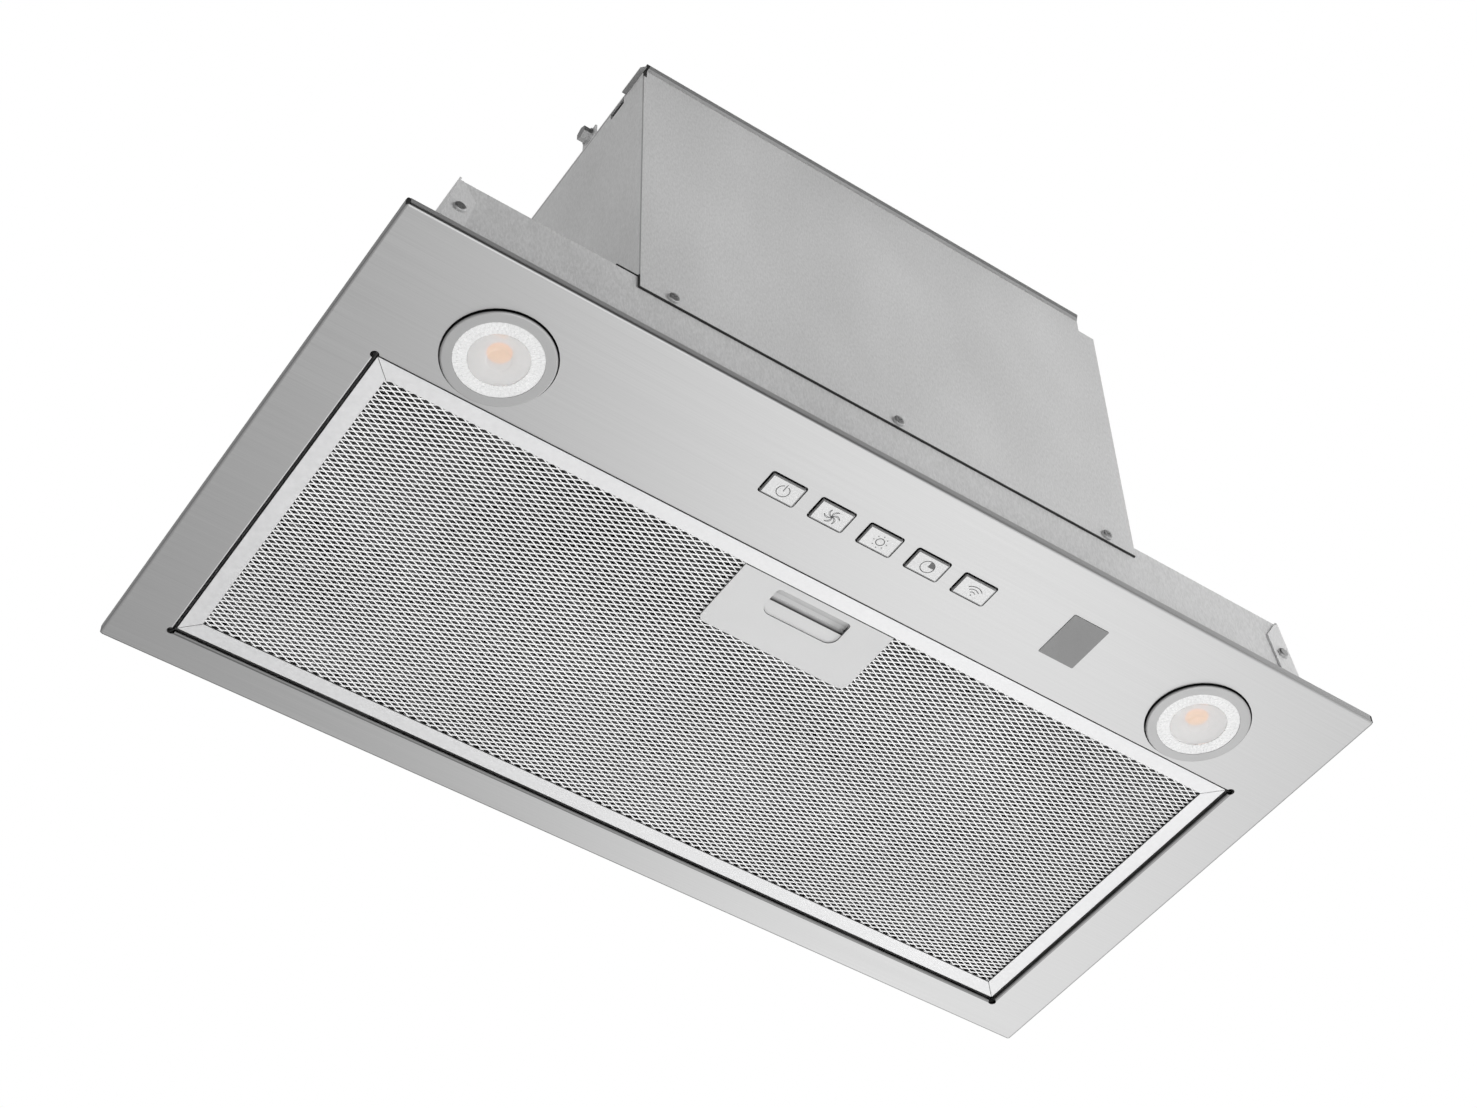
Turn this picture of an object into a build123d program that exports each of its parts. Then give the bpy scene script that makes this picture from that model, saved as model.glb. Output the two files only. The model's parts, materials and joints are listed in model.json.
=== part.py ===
from build123d import *
import os
from math import cos, radians, sin, tan

# Built-in range hood insert, in millimetres.
# +X runs to the cook's right, +Y to the wall behind, +Z up into the cabinet.
# The origin is the centre of the fascia's underside.

os.makedirs("parts", exist_ok=True)

# Driving sizes of the fascia
fascia_width = 530.0
fascia_depth = 282.0
fascia_sheet = 1.0
fascia_corner = 1.5
rim_height = 5.0
rim_bend = 0.9
rim_notch = 1.6
opening_side_margin = 26.5
opening_front_margin = 73.4
opening_rear_margin = 19.8
opening_flange = 12.0
opening_bend = 0.8
opening_relief = 2.0
stud_radius = 2.0
stud_height = 8.0
stud_pitch = 150.0
end_stud_half = 70.0
nut_flats = 7.0
nut_height = 3.2
screw_clearance = 0.05

# Driving sizes of the lamps
lamp_side_distance = 71.0
lamp_front_distance = 46.0
lamp_radius = 25.0
lamp_gap = 0.75
lamp_proud = 1.8
lamp_edge_round = 0.8
lamp_rim = 4.8
lamp_cone = 31.0
lamp_cone_end = 13.0
lamp_base_radius = 12.0
lamp_base = 12.0
lens_radius = 19.6
lens_recess = 0.7
lens_thick = 1.7
lens_dome_radius = 13.7
lens_dome = 0.4
lens_seat = 0.3
lens_ledge = 2.1
cavity_depth = 7.8
led_board_thick = 1.4
led_chip_radius = 3.0
led_chip = 1.4
pin_circle = 5.0
pin_neck_radius = 1.6
pin_neck = 4.0
pin_head_radius = 2.5
pin_head = 3.0
pin_gap = 0.3
lamp_twist = 25.0
socket_radius = 15.0
socket_height = 15.6
socket_gap = 0.4
bracket_sheet = 1.0
bracket_half_span = 30.0
bracket_foot = 11.0
bracket_width = 16.0
bracket_wire_hole = 6.0
roof_clearance = 5.0

# Driving sizes of the button row and the display
button_names = ["power", "fan", "light", "timer", "wireless"]
button_pitch = 26.55
button_front_distance = 38.2
button_window_width = 19.2
button_window_depth = 13.6
button_window_corner = 1.5
button_gap = 0.9
button_proud = 1.3
button_bevel = 0.5
button_travel = 0.8
button_retainer = 1.2
button_retainer_lap = 1.0
button_seat = 0.3
button_stem_radius = 2.5
button_stem_gap = 0.08
switch_gap = 0.2
switch_size = 6.0
switch_body = 3.4
switch_plunger_radius = 1.75
switch_plunger = 0.3
carrier_leg = 4.5
carrier_leg_radius = 4.0
carrier_thick = 3.0
carrier_overhang = 24.0
carrier_leg_inset = 5.0
carrier_half_depth = 15.0
carrier_leg_spread = 10.5
carrier_stud = 12.0
board_post_inset = 14.0
board_post_radius = 2.5
board_screw_radius = 1.2
board_screw_head = 2.4
board_screw_head_height = 1.6
board_thick = 1.6
board_margin = 6.0
display_distance = 58.4
display_width = 20.5
display_depth = 27.5
display_corner = 1.0
display_gap = 0.2
display_proud = 0.3
display_flange = 1.4
display_flange_thick = 1.2
display_module_inset = 1.2
display_module_gap = 0.8

# Driving sizes of the grease filter and its latch
filter_clearance = 2.0
filter_front_clearance = 1.0
filter_recess = 1.0
filter_thick = 9.0
rail_width = 8.6
rail_sheet = 0.8
rail_groove = 0.3
mesh_sheet = 0.8
mesh_pitch_x = 19.0
mesh_pitch_y = 13.4
mesh_gap_x = 15.0
mesh_gap_y = 10.0
insert_gap = 0.2
hook_distance = 150.0
hook_width = 30.0
hook_sheet = 1.2
hook_rise = 1.2
hook_reach = 7.8
hook_slot_side = 1.0
hook_slot_below = 0.3
hook_slot_height = 7.2
handle_width = 83.0
handle_depth = 40.5
handle_corner = 4.0
handle_seam = 0.4
handle_sheet = 0.8
finger_width = 41.0
finger_depth = 16.0
finger_edge = 4.6
finger_front_corner = 2.0
finger_rear_corner = 5.5
cup_side = 4.5
cup_wall = 1.0
cup_lap = 0.3
cup_rear = 12.5
scoop_depth = 5.3
scoop_sheet = 0.7
scoop_bend = 10.6
latch_sheet = 1.2
latch_gap = 0.3
tongue_gap = 0.2
tongue_from_edge = 8.5
tongue_length = 12.0
latch_lap = 1.5
latch_front = 7.5
nose_width = 10.0
nose_short = 0.6
keeper_side = 2.0
keeper_gap = 0.8
spring_radius = 1.2
spring_wall = 0.4

# Driving sizes of the plenum
body_sheet = 1.0
body_bend = 0.8
plenum_front_setback = 19.0
plenum_rear_setback = 11.0
plenum_end_setback = 30.5
end_slope = 11.5
foot_flange = 9.0
tab_width = 11.5
tab_top_drop = 2.0
tab_top_flat = 2.5
tab_chamfer_drop = 13.0
tab_bottom = 4.0
rivet_drop = 23.0
rivet_inset = 6.0
rivet_radius = 1.6
rivet_head_radius = 3.0
rivet_head = 1.6
rivet_round_share = 0.6
rivet_grip = 4.0
mount_half_x = 164.0
mount_front_y = -50.0
mount_rear_y = 110.0
mount_hole_radius = 2.75
end_seam = 0.1

# Driving sizes of the blower and its box
wheel_radius = 60.0
wheel_half_width = 45.0
wheel_blade_depth = 12.0
wheel_blade_count = 24
wheel_blade_sheet = 1.0
wheel_blade_turn = 35.0
wheel_ring = 2.0
wheel_ring_depth = 3.0
wheel_disc = 2.0
hub_radius = 14.0
hub_length = 24.0
shaft_radius = 4.0
shaft_clearance = 0.05
scroll_sheet = 1.0
scroll_tongue_gap = 6.0
scroll_growth = 39.0
scroll_side_gap = 5.0
scroll_floor_gap = 4.0
tongue_radius = 10.0
outlet_neck = 3.0
inlet_radius = 46.0
scroll_flange = 10.0
flange_front_gap = 5.0
flange_rear_gap = 10.0
flange_screw_inset = 5.0
motor_radius = 40.0
motor_length = 54.0
motor_boss_radius = 12.0
motor_boss = 8.0
motor_standoff = 9.0
motor_edge = 4.0
motor_arm_count = 3
arm_ring_sheet = 2.0
arm_ring_width = 12.0
arm_ring_setback = 24.0
arm_sheet = 2.5
arm_width = 14.0
arm_leg_radius = 50.0
arm_foot_radius = 58.0
arm_foot_half = 8.0
grommet_radius = 6.0
grommet_thick = 4.0
motor_screw_tip = 1.0
capacitor_radius = 16.0
capacitor_height = 55.0
capacitor_edge = 2.0
capacitor_side_distance = 47.0
capacitor_rise = 62.0
strap_height = 12.0
strap_half_width = 25.0
strap_sheet = 1.0
box_width = 284.0
box_rear_inset = 8.0
box_lap = 8.0
box_return = 12.0
box_foot = 11.0
box_foot_inset = 12.0
lid_flange = 10.0
lid_flange_inset = 12.0
lid_flange_corner = 20.0
panel_lip = 3.0
panel_lip_slant = 2.0
panel_notch_width = 10.0
panel_notch_height = 9.5
panel_notch_depth = 8.0
panel_relief_width = 1.6
panel_relief_height = 7.0
panel_screw_inset = 17.5
panel_screw_rise = 3.4
side_lip = 2.4
side_lip_length = 16.5
side_notch_start = 17.5
side_notch_length = 12.0
side_notch_depth = 6.0
air_side_inset = 6.0
air_end_inset = 12.0
screw_radius = 1.5
screw_head_radius = 3.0
screw_head = 1.6
screw_length = 6.0
ear_front = 44.0
ear_length = 12.0
ear_height = 9.0
ear_screw_rise = 4.8
ear_screw_radius = 2.0
washer_radius = 4.75
washer_thick = 1.0
hex_flats = 7.0
hex_height = 4.0
cable_side_distance = 47.0
cable_front = 42.0
cable_hole_radius = 11.1
bushing_gap = 0.1
bushing_bore_radius = 8.0
bushing_flange = 3.0
bushing_flange_thick = 2.0
bushing_sleeve = 3.0
lid_screw_side_y = 70.0
lid_screw_rear_distance = 52.0

# Driving sizes of the duct collar and its damper
collar_radius = 75.0
collar_height = 40.0
collar_flange = 13.0
collar_rear_gap = 7.0
collar_screw_inset = 6.0
damper_rise = 16.0
damper_rod_radius = 2.0
damper_rod_end = 0.3
damper_stop = 2.5
damper_stop_height = 1.8
damper_seat = 0.3
flap_edge_gap = 1.0
flap_sheet = 0.8
flap_hinge_gap = 3.8
knuckle_wall = 1.1
knuckle_length = 25.0
knuckle_pitch = 31.0

# Driving sizes of the power box
power_box_length = 50.0
power_box_depth = 90.0
power_box_height = 34.0
power_box_wall = 1.5
power_box_end_gap = 6.5
power_box_front = 127.0
power_post = 10.0
power_post_radius = 3.0
power_post_inset = 6.0
driver_lap = 4.5
transformer_size = 24.0
transformer_height = 15.0
driver_can_radius = 4.0
driver_can_height = 12.0
driver_can_pitch = 12.0

# Places worked out from the driving sizes
front_edge = -fascia_depth / 2
rear_edge = fascia_depth / 2
opening_width = fascia_width - 2 * opening_side_margin
opening_depth = fascia_depth - opening_front_margin - opening_rear_margin
opening_front = front_edge + opening_front_margin
opening_rear = rear_edge - opening_rear_margin
opening_y = (opening_front + opening_rear) / 2

lamp_x = fascia_width / 2 - lamp_side_distance
lamp_y = front_edge + lamp_front_distance
cone_low = -lamp_proud + lamp_rim
cone_high = cone_low + lamp_cone
lamp_top = cone_high + lamp_base
socket_low = lamp_top + socket_gap
socket_top = socket_low + socket_height
bracket_top = socket_top + bracket_sheet
plenum_top = bracket_top + roof_clearance + body_sheet

button_y = front_edge + button_front_distance
button_row_half = button_pitch * (len(button_names) - 1) / 2
button_x = [button_pitch * i - button_row_half for i in range(len(button_names))]
display_x = button_row_half + display_distance
carrier_low = fascia_sheet + carrier_leg
carrier_high = carrier_low + carrier_thick
carrier_half = button_row_half + carrier_overhang
carrier_leg_x = carrier_half - carrier_leg_inset
carrier_leg_y = [button_y - carrier_leg_spread, button_y + carrier_leg_spread]
board_post_x = carrier_half - board_post_inset
stem_top = carrier_high + button_travel
plunger_low = stem_top + button_travel + switch_gap
board_low = plunger_low + switch_plunger + switch_body
board_high = board_low + board_thick

frame_width = opening_width - 2 * filter_clearance
frame_front = opening_front + filter_front_clearance
frame_rear = opening_rear - filter_clearance
frame_depth = frame_rear - frame_front
frame_y = (frame_front + frame_rear) / 2
frame_low = filter_recess
frame_high = filter_recess + filter_thick
lip_high = frame_low + rail_sheet
mesh_high = lip_high + mesh_sheet
core_high = frame_high - rail_sheet - mesh_sheet
insert_width = frame_width - 2 * rail_sheet - 2 * insert_gap
insert_depth = frame_depth - 2 * rail_sheet - 2 * insert_gap
insert_front = frame_front + rail_sheet + insert_gap
rail_inner = frame_front + rail_width
hook_low = frame_low + hook_rise
hook_end = frame_rear + hook_reach

handle_low = lip_high - handle_sheet
finger_front = rail_inner + finger_edge
finger_rear = finger_front + finger_depth
cup_half = finger_width / 2 + cup_side
cup_front = rail_inner - cup_lap
cup_back = finger_rear + cup_rear
cup_roof = core_high - cup_wall
latch_high = cup_roof - latch_gap
latch_low = latch_high - latch_sheet
latch_half = finger_width / 2 + latch_lap
tongue_low = lip_high + tongue_gap
tongue_front = finger_front + tongue_from_edge
tongue_rear = tongue_front + tongue_length
nose_tip = opening_front + nose_short
spring_z = (tongue_low + latch_sheet + latch_low) / 2

plenum_front = front_edge + plenum_front_setback
plenum_rear = rear_edge - plenum_rear_setback
plenum_mid_y = (plenum_front + plenum_rear) / 2
plenum_depth = plenum_rear - plenum_front
plenum_top_half = fascia_width / 2 - plenum_end_setback
end_wall_run = body_sheet / cos(radians(end_slope))
foot_high = fascia_sheet + body_sheet


def end_half(z):
    return plenum_top_half + (plenum_top - z) * tan(radians(end_slope))


box_half = box_width / 2
box_rear = plenum_rear - box_rear_inset
box_depth = box_rear - plenum_front
box_mid_y = (box_rear + plenum_front) / 2
panel_face = plenum_front - body_sheet
panel_low = plenum_top - box_lap

scroll_start = wheel_radius + scroll_tongue_gap
scroll_end = scroll_start + scroll_growth
scroll_half = wheel_half_width + scroll_side_gap
collar_y = box_rear - collar_rear_gap - collar_radius - collar_flange
fan_y = collar_y - (tongue_radius + scroll_end) / 2

# The half turn takes one third of the scroll's growth and the last quarter takes the rest
scroll_step = scroll_growth / 3
fan_z = plenum_top + scroll_floor_gap + scroll_sheet + scroll_start + 2 * scroll_step
box_high = fan_z + scroll_start + tongue_radius + outlet_neck
lid_high = box_high + body_sheet
motor_front = -scroll_half - scroll_sheet - motor_standoff
motor_back = motor_front - motor_boss - motor_length
ear_y = plenum_front + ear_front
cable_x = -box_half + cable_side_distance
cable_y = plenum_front + cable_front
capacitor_x = box_half - capacitor_side_distance
lid_screw_rear_x = box_half - lid_screw_rear_distance
collar_top = lid_high + collar_height
damper_z = lid_high + damper_rise
collar_bore = collar_radius - body_sheet

power_right = end_half(plenum_top) - power_box_end_gap
power_x = power_right - power_box_length / 2
power_y = plenum_front + power_box_front + power_box_depth / 2
power_high = plenum_top - body_sheet
power_low = power_high - power_box_height

foot_front_y = plenum_front - foot_flange / 2
foot_rear_y = plenum_rear + foot_flange / 2
foot_end_x = end_half(fascia_sheet) + foot_flange / 2
foot_studs = [(i * stud_pitch, y) for i in (-1, 0, 1) for y in (foot_front_y, foot_rear_y)]
foot_studs += [
    (s * foot_end_x, plenum_mid_y + d * end_stud_half) for s in (-1, 1) for d in (-1, 1)
]
carrier_studs = [(s * carrier_leg_x, y) for s in (-1, 1) for y in carrier_leg_y]
bracket_reach = bracket_half_span + (bracket_sheet + bracket_foot) / 2
bracket_studs = [(s * lamp_x + d * bracket_reach, lamp_y) for s in (-1, 1) for d in (-1, 1)]
rivet_z = plenum_top - rivet_drop
rivet_x = end_half(rivet_z) - rivet_inset
panel_screw_x = [-(box_half - panel_screw_inset), 0.0, box_half - panel_screw_inset]
panel_screw_z = panel_low + panel_screw_rise
side_screw_x = box_half - body_sheet - lid_flange / 2
lid_screws = [(s * side_screw_x, box_mid_y + d * lid_screw_side_y) for s in (-1, 1) for d in (-1, 1)]
lid_screws += [(s * lid_screw_rear_x, box_rear - body_sheet - lid_flange / 2) for s in (-1, 1)]
scroll_flange_front = fan_y + tongue_radius + flange_front_gap
scroll_flange_rear = fan_y + scroll_end - flange_rear_gap
flange_screw_x = scroll_half + scroll_sheet + scroll_flange / 2
flange_screw_y = [scroll_flange_front + flange_screw_inset, scroll_flange_rear - flange_screw_inset]
lid_screws += [(s * flange_screw_x, y) for s in (-1, 1) for y in flange_screw_y]
collar_screw_circle = collar_radius + collar_flange - collar_screw_inset


def keep(piece, name):
    piece.part.label = name
    export_step(piece.part, f"parts/{name}.step")


def bar(low, high):
    """A box between two opposite corners, added to the part that is being built."""
    middle = [(a + b) / 2 for a, b in zip(low, high)]
    with Locations(tuple(middle)):
        return Box(*(b - a for a, b in zip(low, high)))


def cut(low, high):
    """A box between two opposite corners, taken from the part that is being built."""
    middle = [(a + b) / 2 for a, b in zip(low, high)]
    with Locations(tuple(middle)):
        return Box(*(b - a for a, b in zip(low, high)), mode=Mode.SUBTRACT)


def rod(start, direction, radius, length, mode=Mode.ADD):
    """A round bar from a point along a direction."""
    with BuildSketch(Plane(origin=start, z_dir=direction)) as section:
        Circle(radius)
    return extrude(section.sketch, amount=length, mode=mode)


up = (0, 0, 1)
down = (0, 0, -1)
right = (1, 0, 0)
left = (-1, 0, 0)
front = (0, -1, 0)
rear = (0, 1, 0)
take = Mode.SUBTRACT


# Fascia: one brushed sheet with its rim and the filter opening's edges turned up
with BuildPart() as fascia_panel:
    with BuildSketch():
        RectangleRounded(fascia_width, fascia_depth, fascia_corner)
    extrude(amount=rim_height)
    fillet(fascia_panel.faces().sort_by(Axis.Z)[0].edges(), rim_bend)
    with BuildSketch(Plane.XY.offset(fascia_sheet)):
        Rectangle(fascia_width - 2 * fascia_sheet, fascia_depth - 2 * fascia_sheet)
    extrude(amount=rim_height, mode=take)
    with BuildSketch(Plane((0, opening_y, 0))):
        Rectangle(opening_width + 2 * fascia_sheet, opening_depth + 2 * fascia_sheet)
    extrude(amount=opening_flange)
    with BuildSketch(Plane((0, opening_y, 0))):
        Rectangle(opening_width, opening_depth)
    extrude(amount=opening_flange, mode=take)
    fillet(fascia_panel.faces().sort_by(Axis.Z)[0].inner_wires()[0].edges(), opening_bend)
    with BuildSketch(Plane((0, opening_y, 0))):
        with GridLocations(opening_width, opening_depth, 2, 2):
            Circle(opening_relief)
    extrude(amount=opening_flange, mode=take)
    with BuildSketch(Plane.XY.offset(fascia_sheet)):
        with GridLocations(fascia_width, fascia_depth, 2, 2):
            Rectangle(2 * rim_notch, 2 * rim_notch)
    extrude(amount=rim_height, mode=take)
    with BuildSketch():
        with Locations((-lamp_x, lamp_y), (lamp_x, lamp_y)):
            Circle(lamp_radius + lamp_gap)
        with Locations(*[(x, button_y) for x in button_x]):
            RectangleRounded(button_window_width, button_window_depth, button_window_corner)
        with Locations((display_x, button_y)):
            RectangleRounded(display_width, display_depth, display_corner)
    extrude(amount=fascia_sheet, mode=take)
    slot_half = hook_width / 2 + hook_slot_side
    slot_low = hook_low - hook_slot_below
    for slot_x in (-hook_distance, hook_distance):
        cut(
            (slot_x - slot_half, opening_rear, slot_low),
            (slot_x + slot_half, opening_rear + fascia_sheet, slot_low + hook_slot_height),
        )
    cut(
        (-nose_width / 2 - keeper_side, opening_front - fascia_sheet, latch_low - keeper_gap),
        (nose_width / 2 + keeper_side, opening_front, latch_high + keeper_gap),
    )
    with BuildSketch(Plane.XY.offset(fascia_sheet)):
        with Locations(*foot_studs, *bracket_studs):
            Circle(stud_radius)
    extrude(amount=stud_height)
    with BuildSketch(Plane.XY.offset(fascia_sheet)):
        with Locations(*carrier_studs):
            Circle(stud_radius)
    extrude(amount=carrier_stud)
keep(fascia_panel, "fascia_panel")


# Nuts on the fascia's weld studs
with BuildPart() as stud_nuts:
    with BuildSketch(Plane.XY.offset(foot_high)):
        with Locations(*foot_studs, *bracket_studs):
            RegularPolygon(nut_flats / 2, 6, major_radius=False)
            Circle(stud_radius + screw_clearance, mode=take)
    extrude(amount=nut_height)
    with BuildSketch(Plane.XY.offset(carrier_high)):
        with Locations(*carrier_studs):
            RegularPolygon(nut_flats / 2, 6, major_radius=False)
            Circle(stud_radius + screw_clearance, mode=take)
    extrude(amount=nut_height)
keep(stud_nuts, "stud_nuts")


# Plenum: roof, front wall and rear wall folded from one sheet
def wall_outline(z):
    return end_half(z) - end_wall_run - end_seam


with BuildPart() as plenum_shell:
    roof_half = wall_outline(plenum_top)
    bar(
        (-roof_half, plenum_front, plenum_top - body_sheet),
        (roof_half, plenum_rear, plenum_top),
    )
    for wall_y in (plenum_front + body_sheet, plenum_rear):
        with BuildSketch(Plane((0, wall_y, 0), x_dir=right, z_dir=front)):
            Polygon(
                (-wall_outline(foot_high), fascia_sheet),
                (wall_outline(foot_high), fascia_sheet),
                (wall_outline(plenum_top), plenum_top),
                (-wall_outline(plenum_top), plenum_top),
                align=None,
            )
        extrude(amount=body_sheet)
    roof_edges = plenum_shell.edges().filter_by(Axis.X).group_by(Axis.Z)[-1].sort_by(Axis.Y)
    fillet([roof_edges[0], roof_edges[-1]], body_bend)
    foot_half = wall_outline(foot_high)
    bar((-foot_half, plenum_front - foot_flange, fascia_sheet), (foot_half, plenum_front, foot_high))
    bar((-foot_half, plenum_rear, fascia_sheet), (foot_half, plenum_rear + foot_flange, foot_high))
    cut(
        (-box_half + air_side_inset, plenum_front + air_end_inset, plenum_top - body_sheet),
        (box_half - air_side_inset, box_rear - air_end_inset, plenum_top),
    )
    for x in (-mount_half_x, mount_half_x):
        for y in (mount_front_y, mount_rear_y):
            rod((x, y, plenum_top), down, mount_hole_radius, body_sheet, take)
    for x, y in foot_studs:
        rod((x, y, fascia_sheet), up, stud_radius + screw_clearance, body_sheet, take)
    for x in panel_screw_x:
        rod((x, plenum_front, panel_screw_z), rear, screw_radius + screw_clearance, body_sheet, take)
    for x in (-rivet_x, rivet_x):
        rod((x, plenum_front, rivet_z), rear, rivet_radius + screw_clearance, body_sheet, take)
        rod((x, plenum_rear, rivet_z), front, rivet_radius + screw_clearance, body_sheet, take)
keep(plenum_shell, "plenum_shell")


# Sloping end walls with corner tabs that lap over the front and rear walls
for side, side_name in ((-1, "left"), (1, "right")):
    with BuildPart() as end_wall:
        with BuildSketch(Plane((0, plenum_rear + body_sheet, 0), x_dir=right, z_dir=front)):
            foot_x = end_half(fascia_sheet)
            Polygon(
                (side * end_half(plenum_top), plenum_top),
                (side * end_half(foot_high), foot_high),
                (side * (foot_x + foot_flange), foot_high),
                (side * (foot_x + foot_flange), fascia_sheet),
                (side * (foot_x - end_wall_run), fascia_sheet),
                (side * (end_half(plenum_top) - end_wall_run), plenum_top),
                align=None,
            )
        extrude(amount=plenum_depth + 2 * body_sheet)
        tab_top = plenum_top - tab_top_drop
        tab_shoulder = plenum_top - tab_chamfer_drop
        for tab_y in (plenum_front, plenum_rear + body_sheet):
            with BuildSketch(Plane((0, tab_y, 0), x_dir=right, z_dir=front)):
                Polygon(
                    (side * end_half(tab_top), tab_top),
                    (side * (end_half(tab_top) - tab_top_flat), tab_top),
                    (side * (end_half(tab_shoulder) - tab_width), tab_shoulder),
                    (side * (end_half(tab_bottom) - tab_width), tab_bottom),
                    (side * end_half(tab_bottom), tab_bottom),
                    align=None,
                )
            extrude(amount=body_sheet)
        for tab_y in (panel_face, plenum_rear):
            rod((side * rivet_x, tab_y, rivet_z), rear, rivet_radius + screw_clearance, body_sheet, take)
        for x, y in foot_studs:
            if abs(x) == foot_end_x and x * side > 0:
                rod((x, y, fascia_sheet), up, stud_radius + screw_clearance, body_sheet, take)
    keep(end_wall, f"{side_name}_end_wall")


with BuildPart() as corner_rivets:
    for x in (-rivet_x, rivet_x):
        rod((x, panel_face, rivet_z), front, rivet_head_radius, rivet_head)
        rod((x, plenum_rear + body_sheet, rivet_z), rear, rivet_head_radius, rivet_head)
    fillet(corner_rivets.edges().group_by(Axis.Y)[0], rivet_head * rivet_round_share)
    fillet(corner_rivets.edges().group_by(Axis.Y)[-1], rivet_head * rivet_round_share)
    for x in (-rivet_x, rivet_x):
        rod((x, panel_face, rivet_z), rear, rivet_radius, rivet_grip)
        rod((x, plenum_rear + body_sheet, rivet_z), front, rivet_radius, rivet_grip)
keep(corner_rivets, "corner_rivets")


# Blower box: folded wrap, front panel and lid
with BuildPart() as box_wrap:
    with BuildSketch(Plane((0, box_mid_y, plenum_top))):
        Rectangle(box_width, box_depth)
        with Locations((0, -body_sheet)):
            Rectangle(box_width - 2 * body_sheet, box_depth, mode=take)
    extrude(amount=box_high - plenum_top)
    fillet(box_wrap.edges().filter_by(Axis.Z).group_by(Axis.Y)[-1], body_bend)
    inner = box_half - body_sheet
    for side in (-1, 1):
        edge = sorted((side * inner, side * (inner - box_return)))
        bar((edge[0], plenum_front, plenum_top), (edge[1], plenum_front + body_sheet, box_high))
        edge = sorted((side * box_half, side * (box_half + box_foot)))
        bar(
            (edge[0], plenum_front + box_foot_inset, plenum_top),
            (edge[1], box_rear - box_foot_inset, plenum_top + body_sheet),
        )
        edge = sorted((side * inner, side * (inner - lid_flange)))
        bar(
            (edge[0], box_mid_y - lid_screw_side_y - lid_flange_inset, box_high - body_sheet),
            (edge[1], box_mid_y + lid_screw_side_y + lid_flange_inset, box_high),
        )
    bar(
        (-inner + lid_flange_corner, box_rear - body_sheet - lid_flange, box_high - body_sheet),
        (inner - lid_flange_corner, box_rear - body_sheet, box_high),
    )
    with BuildSketch(Plane((-box_half, panel_face, box_high - body_sheet))):
        Polygon(
            (0, -side_lip),
            (0, side_lip_length),
            (-side_lip, side_lip_length),
            (-side_lip, 0),
            align=None,
        )
    extrude(amount=body_sheet)
    cut(
        (-box_half, plenum_front + side_notch_start, box_high - side_notch_depth),
        (-inner, plenum_front + side_notch_start + side_notch_length, box_high),
    )
    cut(
        (box_half - panel_notch_width, plenum_front, lid_high - panel_notch_height),
        (box_half, plenum_front + panel_notch_depth, box_high),
    )
    for x, y in lid_screws:
        rod((x, y, box_high), down, screw_radius + screw_clearance, body_sheet, take)
keep(box_wrap, "box_wrap")

with BuildPart() as box_front_panel:
    bar((-box_half, panel_face, panel_low), (box_half, plenum_front, lid_high))
    lip_end = box_half - panel_notch_width
    with BuildSketch(Plane((0, panel_face, box_high))):
        Polygon(
            (-box_half + panel_relief_width, 0),
            (-box_half + panel_relief_width, -panel_lip),
            (lip_end - panel_lip_slant, -panel_lip),
            (lip_end, 0),
            align=None,
        )
    extrude(amount=lid_high - box_high)
    cut(
        (box_half - panel_notch_width, panel_face, lid_high - panel_notch_height),
        (box_half, plenum_front, lid_high),
    )
    cut(
        (-box_half, panel_face, lid_high - panel_relief_height),
        (-box_half + panel_relief_width, plenum_front, lid_high),
    )
    for x in panel_screw_x:
        rod((x, panel_face, panel_screw_z), rear, screw_radius + screw_clearance, body_sheet, take)
keep(box_front_panel, "box_front_panel")

with BuildPart() as box_lid:
    bar((-box_half, plenum_front, box_high), (box_half, box_rear, lid_high))
    cut(
        (box_half - panel_notch_width, plenum_front, box_high),
        (box_half, plenum_front + panel_notch_depth, lid_high),
    )
    bar(
        (-box_half, ear_y, lid_high),
        (-box_half + body_sheet, ear_y + ear_length, lid_high + ear_height),
    )
    ear_middle = (-box_half, ear_y + ear_length / 2, lid_high + ear_screw_rise)
    rod(ear_middle, right, ear_screw_radius + screw_clearance, body_sheet, take)
    rod((0, collar_y, lid_high), down, collar_bore, body_sheet, take)
    rod((cable_x, cable_y, lid_high), down, cable_hole_radius, body_sheet, take)
    for x, y in lid_screws:
        rod((x, y, lid_high), down, screw_radius + screw_clearance, body_sheet, take)
    with BuildSketch(Plane((0, collar_y, lid_high))):
        with PolarLocations(collar_screw_circle, 4, start_angle=45):
            Circle(screw_radius + screw_clearance)
    extrude(amount=-body_sheet, mode=take)
keep(box_lid, "box_lid")


def pan_screws(places, direction):
    """Pan-head screws whose heads sit at the given places, pointing along a direction."""
    away = tuple(-d for d in direction)
    for place in places:
        rod(place, away, screw_head_radius, screw_head)
        rod(place, direction, screw_radius, screw_length)


with BuildPart() as front_panel_screws:
    pan_screws([(x, panel_face, panel_screw_z) for x in panel_screw_x], rear)
    fillet(front_panel_screws.edges().group_by(Axis.Y)[0], screw_head / 2)
keep(front_panel_screws, "front_panel_screws")

with BuildPart() as lid_screw_set:
    pan_screws([(x, y, lid_high) for x, y in lid_screws], down)
    fillet(lid_screw_set.edges().group_by(Axis.Z)[-1], screw_head / 2)
keep(lid_screw_set, "lid_screws")

with BuildPart() as earth_screw:
    rod(ear_middle, left, washer_radius, washer_thick)
    head_start = (-box_half - washer_thick, ear_middle[1], ear_middle[2])
    with BuildSketch(Plane(origin=head_start, z_dir=left)):
        RegularPolygon(hex_flats / 2, 6, major_radius=False)
    extrude(amount=hex_height)
    rod(ear_middle, right, ear_screw_radius, screw_length)
keep(earth_screw, "earth_screw")

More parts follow.
